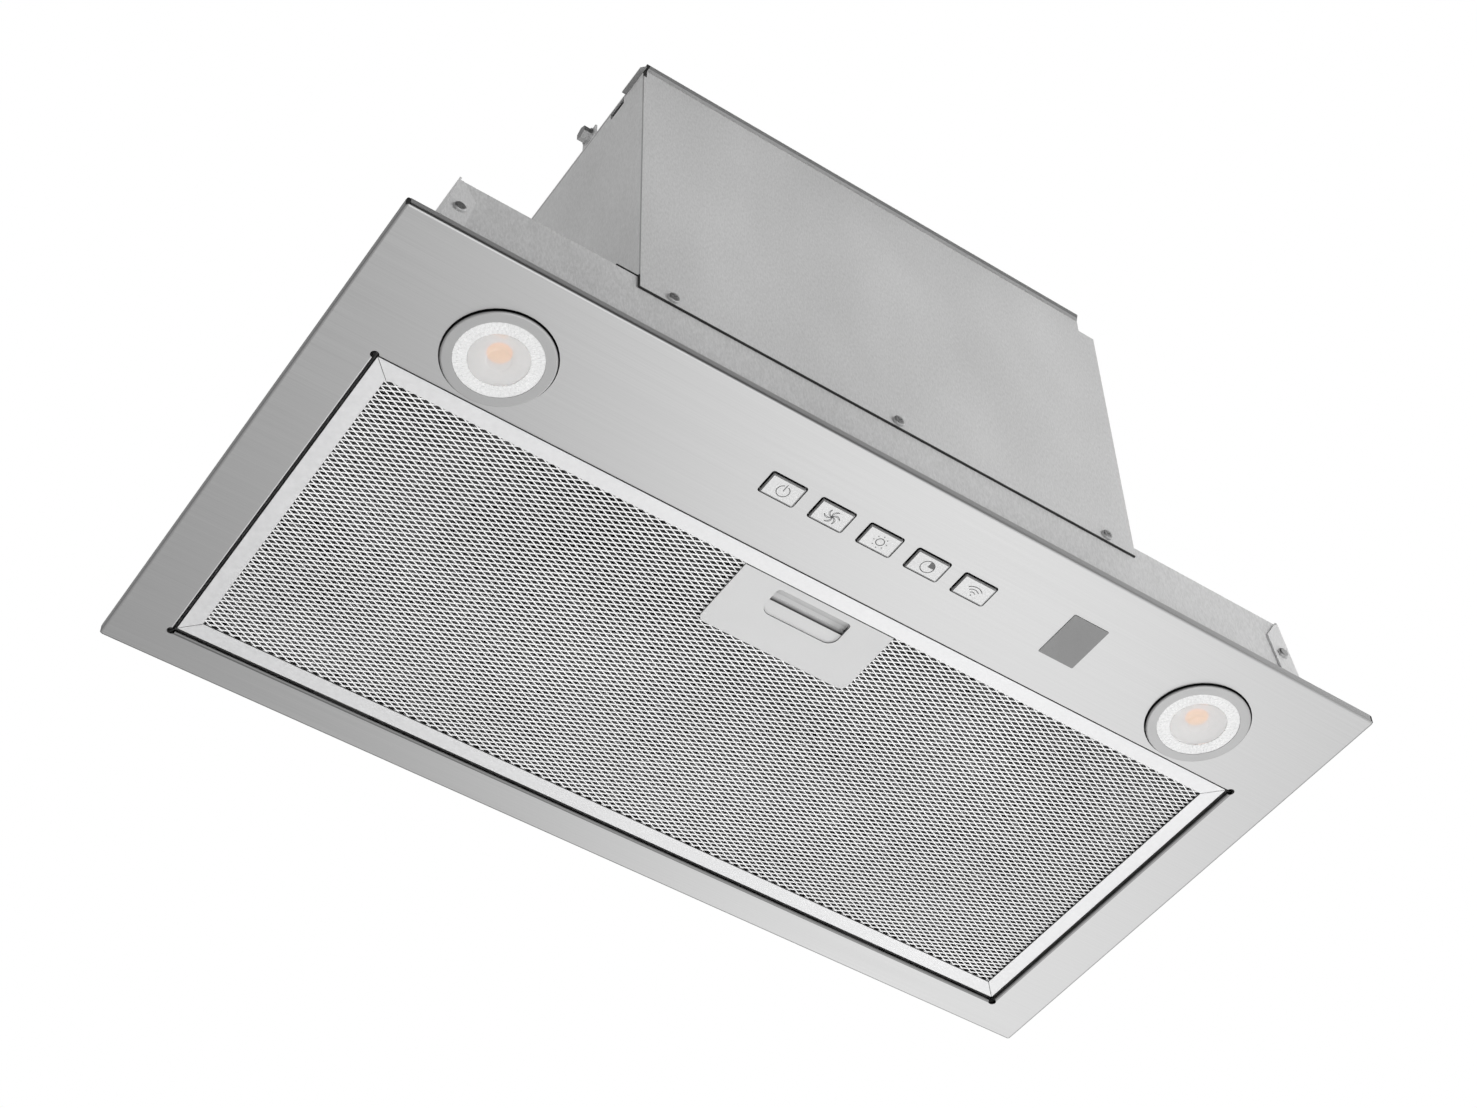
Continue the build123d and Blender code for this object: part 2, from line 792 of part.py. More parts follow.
with BuildPart() as cable_bushing:
    sleeve_radius = cable_hole_radius - bushing_gap
    rod((cable_x, cable_y, lid_high), down, sleeve_radius, bushing_sleeve)
    rod((cable_x, cable_y, lid_high), up, sleeve_radius + bushing_flange, bushing_flange_thick)
    rod(
        (cable_x, cable_y, lid_high - bushing_sleeve),
        up,
        bushing_bore_radius,
        bushing_sleeve + bushing_flange_thick,
        take,
    )
keep(cable_bushing, "cable_bushing")


# Duct collar with its gravity damper
with BuildPart() as duct_collar:
    rod((0, collar_y, lid_high), up, collar_radius + collar_flange, body_sheet)
    rod((0, collar_y, lid_high), up, collar_radius, collar_height)
    rod((0, collar_y, lid_high), up, collar_bore, collar_height, take)
    stop_high = damper_z - flap_sheet / 2 - damper_seat
    with BuildSketch(Plane((0, collar_y, stop_high))):
        Circle(collar_bore + body_sheet / 2)
        Circle(collar_bore - damper_stop, mode=take)
    extrude(amount=-damper_stop_height)
    rod(
        (-collar_radius, collar_y, damper_z),
        right,
        damper_rod_radius + screw_clearance,
        2 * collar_radius,
        take,
    )
    with BuildSketch(Plane((0, collar_y, lid_high))):
        with PolarLocations(collar_screw_circle, 4, start_angle=45):
            Circle(screw_radius + screw_clearance)
    extrude(amount=body_sheet, mode=take)
keep(duct_collar, "duct_collar")

with BuildPart() as collar_screws:
    spread = collar_screw_circle * cos(radians(45))
    corners = [(s * spread, collar_y + d * spread) for s in (-1, 1) for d in (-1, 1)]
    pan_screws([(x, y, lid_high + body_sheet) for x, y in corners], down)
    fillet(collar_screws.edges().group_by(Axis.Z)[-1], screw_head / 2)
keep(collar_screws, "collar_screws")

with BuildPart() as damper_rod:
    rod_half = collar_radius - damper_rod_end
    rod((-rod_half, collar_y, damper_z), right, damper_rod_radius, 2 * rod_half)
keep(damper_rod, "damper_rod")

knuckle_start = -2 * knuckle_pitch + (knuckle_pitch - knuckle_length) / 2
for side, flap_name, first in ((-1, "front", 0), (1, "rear", 1)):
    with BuildPart() as flap:
        with BuildSketch(Plane((0, collar_y, damper_z - flap_sheet / 2))):
            Circle(collar_bore - flap_edge_gap)
            with Locations((0, -side * (collar_radius - flap_hinge_gap))):
                Rectangle(2 * collar_radius, 2 * collar_radius, mode=take)
        extrude(amount=flap_sheet)
        for i in (first, first + 2):
            knuckle_x = knuckle_start + i * knuckle_pitch
            arm = sorted((collar_y, collar_y + side * (flap_hinge_gap + flap_sheet)))
            bar(
                (knuckle_x, arm[0], damper_z - flap_sheet / 2),
                (knuckle_x + knuckle_length, arm[1], damper_z + flap_sheet / 2),
            )
            middle = (knuckle_x, collar_y, damper_z)
            rod(middle, right, damper_rod_radius + knuckle_wall, knuckle_length)
            rod(middle, right, damper_rod_radius + screw_clearance, knuckle_length, take)
    keep(flap, f"damper_flap_{flap_name}")


# Blower scroll: a wrap of growing arcs between two side plates with round inlets
def scroll_line(extra):
    """The scroll's profile from the tongue's top round to the outlet's rear wall."""
    bend = tongue_radius - extra
    tongue_z = fan_z + scroll_start + tongue_radius
    Line((fan_y + bend, box_high), (fan_y + bend, tongue_z))
    CenterArc((fan_y, tongue_z), bend, 0, -90)
    CenterArc((fan_y, fan_z - scroll_step), scroll_start + scroll_step + extra, 90, 180)
    CenterArc((fan_y, fan_z + scroll_step), scroll_end + extra, 270, 90)
    outlet = fan_y + scroll_end + extra
    Line((outlet, fan_z + scroll_step), (outlet, box_high))


with BuildPart() as scroll_wrap:
    with BuildSketch(Plane.YZ.offset(-scroll_half)):
        with BuildLine():
            scroll_line(0)
            scroll_line(scroll_sheet)
            tongue_y = fan_y + tongue_radius
            outlet_y = fan_y + scroll_end
            Line((tongue_y - scroll_sheet, box_high), (tongue_y, box_high))
            Line((outlet_y, box_high), (outlet_y + scroll_sheet, box_high))
        make_face()
    extrude(amount=2 * scroll_half)
keep(scroll_wrap, "scroll_wrap")

arm_angles = [90 + 360 / motor_arm_count * i for i in range(motor_arm_count)]
for side, side_name in ((-1, "left"), (1, "right")):
    with BuildPart() as scroll_plate:
        plate_start = scroll_half if side > 0 else -scroll_half - scroll_sheet
        with BuildSketch(Plane.YZ.offset(plate_start)):
            with BuildLine():
                scroll_line(scroll_sheet)
                Line((tongue_y - scroll_sheet, box_high), (outlet_y + scroll_sheet, box_high))
            make_face()
            with Locations((fan_y, fan_z)):
                Circle(inlet_radius, mode=take)
        extrude(amount=scroll_sheet)
        flange_x = sorted((side * scroll_half, side * (scroll_half + scroll_sheet + scroll_flange)))
        bar(
            (flange_x[0], scroll_flange_front, box_high - body_sheet),
            (flange_x[1], scroll_flange_rear, box_high),
        )
        for x, y in lid_screws:
            if abs(x) == flange_screw_x and x * side > 0:
                rod((x, y, box_high), down, screw_radius + screw_clearance, body_sheet, take)
        if side < 0:
            for angle in arm_angles:
                foot_y = fan_y + arm_foot_radius * cos(radians(angle))
                foot_z = fan_z + arm_foot_radius * sin(radians(angle))
                place = (plate_start, foot_y, foot_z)
                rod(place, right, screw_radius + screw_clearance, scroll_sheet, take)
    keep(scroll_plate, f"scroll_plate_{side_name}")


# Motor, its three-armed bracket and rubber mounts
def fan_plane(x):
    return Plane(origin=(x, fan_y, fan_z), x_dir=rear, z_dir=right)


with BuildPart() as motor_body:
    rod((motor_back, fan_y, fan_z), right, motor_radius, motor_length)
    fillet(motor_body.edges().filter_by(GeomType.CIRCLE), motor_edge)
    rod((motor_back + motor_length, fan_y, fan_z), right, motor_boss_radius, motor_boss)
    shaft_back = motor_back + motor_edge
    rod(
        (shaft_back - shaft_clearance, fan_y, fan_z),
        right,
        shaft_radius + shaft_clearance,
        motor_front - shaft_back + shaft_clearance,
        take,
    )
keep(motor_body, "motor_body")

plate_face = -scroll_half - scroll_sheet
foot_face = plate_face - grommet_thick
with BuildPart() as motor_bracket:
    ring_x = motor_back + arm_ring_setback
    with BuildSketch(fan_plane(ring_x)):
        Circle(motor_radius + screw_clearance + arm_ring_sheet)
        Circle(motor_radius + screw_clearance, mode=take)
    extrude(amount=arm_ring_width)
    arm_start = motor_radius + arm_ring_sheet / 2
    leg_out = arm_leg_radius + arm_sheet
    foot_out = arm_foot_radius + arm_foot_half
    with BuildSketch(fan_plane(ring_x)):
        with PolarLocations((arm_start + leg_out) / 2, motor_arm_count, start_angle=90):
            Rectangle(leg_out - arm_start, arm_width)
    extrude(amount=arm_sheet)
    with BuildSketch(fan_plane(ring_x)):
        with PolarLocations((arm_leg_radius + leg_out) / 2, motor_arm_count, start_angle=90):
            Rectangle(arm_sheet, arm_width)
    extrude(amount=foot_face - ring_x)
    with BuildSketch(fan_plane(foot_face - arm_sheet)):
        with PolarLocations((arm_leg_radius + foot_out) / 2, motor_arm_count, start_angle=90):
            Rectangle(foot_out - arm_leg_radius, arm_width)
        with PolarLocations(arm_foot_radius, motor_arm_count, start_angle=90):
            Circle(screw_radius + screw_clearance, mode=take)
    extrude(amount=arm_sheet)
keep(motor_bracket, "motor_bracket")

with BuildPart() as motor_mounts:
    with BuildSketch(fan_plane(foot_face)):
        with PolarLocations(arm_foot_radius, motor_arm_count, start_angle=90):
            Circle(grommet_radius)
            Circle(screw_radius + screw_clearance, mode=take)
    extrude(amount=grommet_thick)
keep(motor_mounts, "motor_mounts")

with BuildPart() as motor_screws:
    head_face = foot_face - arm_sheet
    with BuildSketch(fan_plane(head_face)):
        with PolarLocations(arm_foot_radius, motor_arm_count, start_angle=90):
            Circle(screw_head_radius)
    extrude(amount=-screw_head)
    with BuildSketch(fan_plane(head_face)):
        with PolarLocations(arm_foot_radius, motor_arm_count, start_angle=90):
            Circle(screw_radius)
    extrude(amount=arm_sheet + grommet_thick + scroll_sheet + motor_screw_tip)
keep(motor_screws, "motor_screws")


# Double-inlet wheel on its shaft
with BuildPart() as fan_wheel:
    with BuildSketch(fan_plane(-wheel_disc / 2)):
        Circle(wheel_radius - wheel_blade_depth / 2)
    extrude(amount=wheel_disc)
    rod((-wheel_disc / 2, fan_y, fan_z), right, hub_radius, hub_length)
    with BuildSketch(fan_plane(-wheel_half_width)):
        blade_root = wheel_radius - wheel_blade_depth
        with PolarLocations((blade_root + wheel_radius) / 2, wheel_blade_count):
            Rectangle(wheel_blade_depth, wheel_blade_sheet, rotation=wheel_blade_turn)
    extrude(amount=2 * wheel_half_width)
    for ring_start in (-wheel_half_width, wheel_half_width - wheel_ring):
        with BuildSketch(fan_plane(ring_start)):
            Circle(wheel_radius)
            Circle(wheel_radius - wheel_ring_depth, mode=take)
        extrude(amount=wheel_ring)
    rod(
        (-wheel_disc / 2, fan_y, fan_z),
        right,
        shaft_radius + shaft_clearance,
        hub_length,
        take,
    )
keep(fan_wheel, "fan_wheel")

with BuildPart() as motor_shaft:
    rod((shaft_back, fan_y, fan_z), right, shaft_radius, hub_length - wheel_disc / 2 - shaft_back)
keep(motor_shaft, "motor_shaft")

with BuildPart() as capacitor:
    capacitor_y = box_rear - body_sheet - strap_sheet - capacitor_radius
    capacitor_low = plenum_top + capacitor_rise
    rod((capacitor_x, capacitor_y, capacitor_low), up, capacitor_radius, capacitor_height)
    fillet(capacitor.edges().filter_by(GeomType.CIRCLE), capacitor_edge)
keep(capacitor, "capacitor")

with BuildPart() as capacitor_strap:
    strap_low = capacitor_low + capacitor_height / 2 - strap_height / 2
    bar(
        (capacitor_x - strap_half_width, box_rear - body_sheet - strap_sheet, strap_low),
        (capacitor_x + strap_half_width, box_rear - body_sheet, strap_low + strap_height),
    )
    strap_start = (capacitor_x, capacitor_y, strap_low)
    rod(strap_start, up, capacitor_radius + strap_sheet, strap_height)
    rod(strap_start, up, capacitor_radius + screw_clearance, strap_height, take)
keep(capacitor_strap, "capacitor_strap")


# Power box with the driver board, under the plenum's roof at the right
with BuildPart() as power_box:
    with BuildSketch(Plane((power_x, power_y, power_low))):
        Rectangle(power_box_length, power_box_depth)
    extrude(amount=power_box_height)
    with BuildSketch(Plane((power_x, power_y, power_low))):
        Rectangle(power_box_length - 2 * power_box_wall, power_box_depth - 2 * power_box_wall)
    extrude(amount=power_box_height - power_box_wall, mode=take)
keep(power_box, "power_box")

post_span_x = power_box_length - 2 * (power_box_wall + power_post_inset)
post_span_y = power_box_depth - 2 * (power_box_wall + power_post_inset)
with BuildPart() as power_box_cover:
    with BuildSketch(Plane((power_x, power_y, power_low))):
        Rectangle(power_box_length, power_box_depth)
    extrude(amount=-power_box_wall)
    with BuildSketch(Plane((power_x, power_y, power_low))):
        with GridLocations(post_span_x, post_span_y, 2, 2):
            Circle(power_post_radius)
    extrude(amount=power_post)
keep(power_box_cover, "power_box_cover")

with BuildPart() as driver_board:
    with BuildSketch(Plane((power_x, power_y, power_low + power_post))):
        Rectangle(post_span_x + 2 * driver_lap, post_span_y + 2 * driver_lap)
    extrude(amount=board_thick)
    with BuildSketch(Plane((power_x, power_y - transformer_size, power_low + power_post))):
        Rectangle(transformer_size, transformer_size)
    extrude(amount=board_thick + transformer_height)
    with BuildSketch(Plane((power_x, power_y + transformer_size, power_low + power_post))):
        with GridLocations(driver_can_pitch, 0, 2, 1):
            Circle(driver_can_radius)
    extrude(amount=board_thick + driver_can_height)
keep(driver_board, "driver_board")


# Lamps: bulb, lens and chip board on each side, with a twist-lock socket and its bracket
def lamp_plane(x, z):
    return Plane((x, lamp_y, z))


twist_arcs = [(start, CenterArc((0, 0), pin_circle, start, lamp_twist)) for start in (0, 180)]
for side, side_name in ((-1, "left"), (1, "right")):
    centre_x = side * lamp_x
    face_z = -lamp_proud
    seat_z = face_z + lens_recess + lens_thick
    with BuildPart() as bulb:
        rod((centre_x, lamp_y, face_z), up, lamp_radius, lamp_rim)
        fillet(bulb.edges().sort_by(Axis.Z)[0], lamp_edge_round)
        with Locations((centre_x, lamp_y, (cone_low + cone_high) / 2)):
            Cone(lamp_radius - lamp_edge_round, lamp_cone_end, lamp_cone)
        rod((centre_x, lamp_y, cone_high), up, lamp_base_radius, lamp_base)
        rod((centre_x, lamp_y, face_z), up, lens_radius + lens_seat, seat_z - face_z, take)
        cavity = lens_radius + lens_seat - lens_ledge
        rod((centre_x, lamp_y, seat_z), up, cavity, cavity_depth, take)
        with BuildSketch(lamp_plane(centre_x, lamp_top)):
            with PolarLocations(pin_circle, 2):
                Circle(pin_neck_radius)
        extrude(amount=pin_neck)
        with BuildSketch(lamp_plane(centre_x, lamp_top + pin_neck)):
            with PolarLocations(pin_circle, 2):
                Circle(pin_head_radius)
        extrude(amount=pin_head)
    keep(bulb, f"bulb_{side_name}")

    with BuildPart() as bulb_lens:
        rod((centre_x, lamp_y, seat_z), down, lens_radius, lens_thick)
        rod((centre_x, lamp_y, seat_z - lens_thick), down, lens_dome_radius, lens_dome)
    keep(bulb_lens, f"bulb_lens_{side_name}")

    with BuildPart() as led_board:
        board_z = seat_z + cavity_depth
        rod((centre_x, lamp_y, board_z), down, cavity - lens_seat, led_board_thick)
        rod((centre_x, lamp_y, board_z - led_board_thick), down, led_chip_radius, led_chip)
    keep(led_board, f"led_board_{side_name}")

    with BuildPart() as lamp_socket:
        rod((centre_x, lamp_y, socket_low), up, socket_radius, socket_height)
        head_floor = lamp_top + pin_neck - pin_gap
        for start, arc in twist_arcs:
            with BuildSketch(lamp_plane(centre_x, socket_low)):
                SlotArc(arc, 2 * (pin_neck_radius + pin_gap))
                with PolarLocations(pin_circle, 1, start_angle=start + lamp_twist):
                    Circle(pin_head_radius + pin_gap)
            extrude(amount=head_floor - socket_low, mode=take)
            with BuildSketch(lamp_plane(centre_x, head_floor)):
                SlotArc(arc, 2 * (pin_head_radius + pin_gap))
            extrude(amount=pin_head + 2 * pin_gap, mode=take)
    keep(lamp_socket, f"lamp_socket_{side_name}")

    with BuildPart() as lamp_bracket:
        span = bracket_half_span
        outer = bracket_half_span + bracket_sheet
        end = bracket_half_span + bracket_foot
        with BuildSketch(Plane((centre_x, lamp_y + bracket_width / 2, 0), x_dir=right, z_dir=front)):
            Polygon(
                (-end, fascia_sheet),
                (-span, fascia_sheet),
                (-span, socket_top),
                (span, socket_top),
                (span, fascia_sheet),
                (end, fascia_sheet),
                (end, foot_high),
                (outer, foot_high),
                (outer, bracket_top),
                (-outer, bracket_top),
                (-outer, foot_high),
                (-end, foot_high),
                align=None,
            )
        extrude(amount=bracket_width)
        rod((centre_x, lamp_y, bracket_top), down, bracket_wire_hole, bracket_sheet, take)
        for x, y in bracket_studs:
            if x * side > 0:
                rod((x, y, fascia_sheet), up, stud_radius + screw_clearance, body_sheet, take)
    keep(lamp_bracket, f"lamp_bracket_{side_name}")


# Control panel: buttons, their carrier, the board with its switches, and the display
retainer_low = fascia_sheet + button_seat
retainer_high = retainer_low + button_retainer
for name, x in zip(button_names, button_x):
    with BuildPart() as button:
        with BuildSketch(Plane((x, button_y, -button_proud))):
            RectangleRounded(
                button_window_width - 2 * button_gap,
                button_window_depth - 2 * button_gap,
                button_window_corner - button_gap,
            )
        extrude(amount=button_proud + retainer_high)
        chamfer(button.faces().sort_by(Axis.Z)[0].edges(), button_bevel)
        with BuildSketch(Plane((x, button_y, retainer_low))):
            Rectangle(
                button_window_width + 2 * button_retainer_lap,
                button_window_depth + 2 * button_retainer_lap,
            )
        extrude(amount=button_retainer)
        rod((x, button_y, retainer_high), up, button_stem_radius, stem_top - retainer_high)
    keep(button, f"{name}_button")

with BuildPart() as button_carrier:
    with BuildSketch(Plane((0, button_y, carrier_low))):
        Rectangle(2 * carrier_half, 2 * carrier_half_depth)
    extrude(amount=carrier_thick)
    with BuildSketch(Plane.XY.offset(fascia_sheet)):
        with Locations(*carrier_studs):
            Circle(carrier_leg_radius)
    extrude(amount=carrier_leg)
    for x in (-board_post_x, board_post_x):
        rod((x, button_y, carrier_high), up, board_post_radius, board_low - carrier_high)
        post_bore = board_screw_radius + screw_clearance
        rod((x, button_y, carrier_low), up, post_bore, board_low - carrier_low, take)
    for x, y in carrier_studs:
        rod((x, y, fascia_sheet), up, stud_radius + screw_clearance, carrier_high - fascia_sheet, take)
    for x in button_x:
        rod((x, button_y, carrier_low), up, button_stem_radius + button_stem_gap, carrier_thick, take)
keep(button_carrier, "button_carrier")

board_left = -carrier_half + board_post_inset - board_margin
board_right = display_x + display_width / 2 + board_margin
with BuildPart() as control_board:
    bar(
        (board_left, button_y - carrier_half_depth, board_low),
        (board_right, button_y + carrier_half_depth, board_high),
    )
    for x in (-board_post_x, board_post_x):
        rod((x, button_y, board_low), up, board_screw_radius + screw_clearance, board_thick, take)
keep(control_board, "control_board")

with BuildPart() as board_screws:
    for x in (-board_post_x, board_post_x):
        rod((x, button_y, board_high), up, board_screw_head, board_screw_head_height)
        rod((x, button_y, board_high), down, board_screw_radius, board_high - carrier_high)
keep(board_screws, "board_screws")

with BuildPart() as board_switches:
    for x in button_x:
        half = switch_size / 2
        bar(
            (x - half, button_y - half, board_low - switch_body),
            (x + half, button_y + half, board_low),
        )
        rod((x, button_y, board_low - switch_body), down, switch_plunger_radius, switch_plunger)
keep(board_switches, "board_switches")

with BuildPart() as display_window:
    with BuildSketch(Plane((display_x, button_y, -display_proud))):
        RectangleRounded(
            display_width - 2 * display_gap,
            display_depth - 2 * display_gap,
            display_corner - display_gap,
        )
    extrude(amount=display_proud + fascia_sheet)
    with BuildSketch(Plane((display_x, button_y, fascia_sheet))):
        Rectangle(display_width + 2 * display_flange, display_depth + 2 * display_flange)
    extrude(amount=display_flange_thick)
keep(display_window, "display_window")

with BuildPart() as display_module:
    module_low = fascia_sheet + display_flange_thick + display_module_gap
    with BuildSketch(Plane((display_x, button_y, module_low))):
        Rectangle(
            display_width - 2 * display_module_inset,
            display_depth - 2 * display_module_inset,
        )
    extrude(amount=board_low - module_low)
keep(display_module, "display_module")


# Grease filter: channel frame, two expanded meshes and a foil core, with hooks at the rear
with BuildPart() as filter_frame:
    with BuildSketch(Plane((0, frame_y, frame_low))):
        Rectangle(frame_width, frame_depth)
    extrude(amount=filter_thick)
    with BuildSketch(Plane((0, frame_y, lip_high))):
        Rectangle(frame_width - 2 * rail_sheet, frame_depth - 2 * rail_sheet)
    extrude(amount=filter_thick - 2 * rail_sheet, mode=take)
    with BuildSketch(Plane((0, frame_y, frame_low))):
        Rectangle(frame_width - 2 * rail_width, frame_depth - 2 * rail_width)
    extrude(amount=filter_thick, mode=take)
    for side in (-1, 1):
        hook_x = side * hook_distance
        bar(
            (hook_x - hook_width / 2, frame_rear - rail_sheet, hook_low),
            (hook_x + hook_width / 2, hook_end, hook_low + hook_sheet),
        )
    cut(
        (-nose_width / 2 - latch_gap, frame_front, latch_low - latch_gap),
        (nose_width / 2 + latch_gap, frame_front + rail_sheet, latch_high + latch_gap),
    )
    mitre = (rail_width + 2 * rail_groove) * 2**0.5
    for side_x in (-1, 1):
        for side_y in (-1, 1):
            corner_x = side_x * (frame_width - rail_width) / 2
            corner_y = frame_y + side_y * (frame_depth - rail_width) / 2
            turn = 45 * side_x * side_y
            with BuildSketch(Plane((corner_x, corner_y, frame_low)).rotated((0, 0, turn))):
                Rectangle(mitre, rail_groove)
            extrude(amount=rail_groove, mode=take)
keep(filter_frame, "filter_frame")

mesh_rows = int((frame_depth - 2 * rail_width) / mesh_pitch_y)
mesh_columns = int((frame_width - 2 * rail_width) / mesh_pitch_x)
mesh_places = []
for row in range(mesh_rows):
    for column in range(mesh_columns):
        x = (column - (mesh_columns - 1) / 2) * mesh_pitch_x
        y = frame_y + (row - (mesh_rows - 1) / 2) * mesh_pitch_y
        beside_handle = abs(x) > handle_width / 2 + mesh_gap_x / 2
        behind_handle = y > rail_inner + handle_depth + mesh_gap_y / 2
        if beside_handle or behind_handle:
            mesh_places.append((x, y))


def cup_recess():
    """The place of the latch cup, taken out of a sheet that is being drawn."""
    gap = insert_gap
    depth = cup_back + gap - insert_front
    with Locations((0, insert_front + depth / 2 - frame_y)):
        Rectangle(2 * (cup_half + gap), depth, mode=take)


for name, mesh_z in (("filter_front_mesh", lip_high), ("filter_back_mesh", core_high)):
    with BuildPart() as mesh:
        with BuildSketch(Plane((0, frame_y, mesh_z))):
            Rectangle(insert_width, insert_depth)
            with Locations(*[(x, y - frame_y) for x, y in mesh_places]):
                Polygon(
                    (-mesh_gap_x / 2, 0),
                    (0, -mesh_gap_y / 2),
                    (mesh_gap_x / 2, 0),
                    (0, mesh_gap_y / 2),
                    mode=take,
                )
            if mesh_z == lip_high:
                cup_recess()
        extrude(amount=mesh_sheet)
    keep(mesh, name)

with BuildPart() as filter_core:
    with BuildSketch(Plane((0, frame_y, mesh_high))):
        Rectangle(insert_width, insert_depth)
        cup_recess()
    extrude(amount=core_high - mesh_high)
keep(filter_core, "filter_core")


# Latch handle: plate with a finger scoop and the cup that guides the latch
with BuildPart() as filter_handle:
    bar(
        (-handle_width / 2, rail_inner + handle_seam, handle_low),
        (handle_width / 2, rail_inner + handle_depth, lip_high),
    )
    fillet(filter_handle.edges().filter_by(Axis.Z).group_by(Axis.Y)[-1], handle_corner)
    bar((-cup_half, cup_front, lip_high), (cup_half, cup_back, core_high))
    cut(
        (-cup_half + cup_wall, cup_front + cup_wall, lip_high),
        (cup_half - cup_wall, cup_back - cup_wall, cup_roof),
    )
    with BuildSketch(Plane((0, (finger_front + finger_rear) / 2, handle_low))) as window:
        Rectangle(finger_width, finger_depth)
        fillet(window.vertices().sort_by(Axis.Y)[:2], finger_front_corner)
        fillet(window.vertices().sort_by(Axis.Y)[-2:], finger_rear_corner)
    extrude(amount=handle_sheet, mode=take)
    cut(
        (-nose_width / 2 - latch_gap, cup_front, latch_low - latch_gap),
        (nose_width / 2 + latch_gap, cup_front + cup_wall, cup_roof),
    )
    scoop_start = finger_front - scoop_sheet
    scoop_end = finger_front + scoop_depth
    scoop_top = latch_low - latch_gap
    with BuildSketch(Plane.YZ.offset(-cup_half + cup_wall)):
        with BuildLine():
            low_end = (scoop_end, scoop_top - scoop_sheet)
            RadiusArc((finger_front, lip_high), low_end, scoop_bend)
            Line(low_end, (scoop_end, scoop_top))
            RadiusArc((scoop_end, scoop_top), (scoop_start, lip_high), -scoop_bend)
            Line((scoop_start, lip_high), (finger_front, lip_high))
        make_face()
    extrude(amount=2 * (cup_half - cup_wall))
keep(filter_handle, "filter_handle")

with BuildPart() as latch_slider:
    bar((-latch_half, tongue_front, tongue_low), (latch_half, tongue_rear, tongue_low + latch_sheet))
    bar((-latch_half, tongue_front, tongue_low), (latch_half, tongue_front + latch_sheet, latch_high))
    bar((-latch_half, tongue_front - latch_front, latch_low), (latch_half, tongue_rear, latch_high))
    bar((-nose_width / 2, nose_tip, latch_low), (nose_width / 2, tongue_front, latch_high))
keep(latch_slider, "latch_slider")

with BuildPart() as latch_spring:
    spring_front = tongue_front + latch_sheet
    spring_length = cup_back - cup_wall - spring_front
    rod((0, spring_front, spring_z), rear, spring_radius, spring_length)
    rod((0, spring_front, spring_z), rear, spring_radius - spring_wall, spring_length, take)
keep(latch_spring, "latch_spring")
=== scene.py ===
import bpy
import json
import math
from mathutils import Matrix, Vector


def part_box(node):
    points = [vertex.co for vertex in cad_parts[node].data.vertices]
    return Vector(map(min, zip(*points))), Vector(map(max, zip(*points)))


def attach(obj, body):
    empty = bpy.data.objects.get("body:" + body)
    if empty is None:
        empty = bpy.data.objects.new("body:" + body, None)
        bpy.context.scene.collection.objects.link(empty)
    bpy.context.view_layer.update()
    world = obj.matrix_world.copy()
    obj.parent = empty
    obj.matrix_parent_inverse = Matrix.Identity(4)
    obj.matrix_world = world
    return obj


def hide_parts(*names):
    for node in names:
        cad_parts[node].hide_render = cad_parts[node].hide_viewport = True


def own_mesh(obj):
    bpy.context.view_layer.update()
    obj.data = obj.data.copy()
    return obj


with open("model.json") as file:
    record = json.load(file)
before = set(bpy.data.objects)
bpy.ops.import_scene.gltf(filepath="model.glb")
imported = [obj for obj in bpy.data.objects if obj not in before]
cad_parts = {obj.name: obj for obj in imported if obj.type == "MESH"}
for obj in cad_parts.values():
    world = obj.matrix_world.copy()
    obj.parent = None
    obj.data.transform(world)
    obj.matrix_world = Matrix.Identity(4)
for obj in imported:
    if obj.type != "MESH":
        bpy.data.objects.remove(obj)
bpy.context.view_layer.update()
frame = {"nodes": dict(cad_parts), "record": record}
cadNodes = frame["nodes"]
mm = 0.001
creaseAngle = 40  # degrees; edges sharper than this stay crisp
print("frame loaded:", len(cadNodes), "nodes")


def clearSelection():
    if bpy.context.object and bpy.context.object.mode != "OBJECT":
        bpy.ops.object.mode_set(mode="OBJECT")
    bpy.ops.object.select_all(action="DESELECT")


def makeActive(piece):
    clearSelection()
    piece.select_set(True)
    bpy.context.view_layer.objects.active = piece


def startPiece(name):  # names the primitive that was just added
    piece = bpy.context.object
    piece.name = name
    piece.data.name = name
    return piece


def settle(piece):  # puts the piece's place, turn and scale into its mesh
    makeActive(piece)
    bpy.ops.object.transform_apply(location=True, rotation=True, scale=True)


def editAll(piece):
    makeActive(piece)
    bpy.ops.object.mode_set(mode="EDIT")
    bpy.ops.mesh.select_all(action="SELECT")


def editFaces(piece, test):  # goes into edit mode with the faces that pass the test selected
    makeActive(piece)
    mesh = piece.data
    for items in (mesh.vertices, mesh.edges, mesh.polygons):
        items.foreach_set("select", [False] * len(items))
    for face in mesh.polygons:
        face.select = bool(test(face))
    bpy.context.tool_settings.mesh_select_mode = (False, False, True)
    bpy.ops.object.mode_set(mode="EDIT")


def editEdges(piece, test):  # the test gets an edge's two ends
    makeActive(piece)
    mesh = piece.data
    for items in (mesh.vertices, mesh.edges, mesh.polygons):
        items.foreach_set("select", [False] * len(items))
    for edge in mesh.edges:
        ends = [mesh.vertices[i].co for i in edge.vertices]
        if test(*ends):
            edge.select = True
            for i in edge.vertices:
                mesh.vertices[i].select = True
    bpy.context.tool_settings.mesh_select_mode = (False, True, False)
    bpy.ops.object.mode_set(mode="EDIT")


def closeEdit():
    bpy.ops.object.mode_set(mode="OBJECT")


def applyModifiers(piece):
    makeActive(piece)
    for modifier in list(piece.modifiers):
        bpy.ops.object.modifier_apply(modifier=modifier.name)


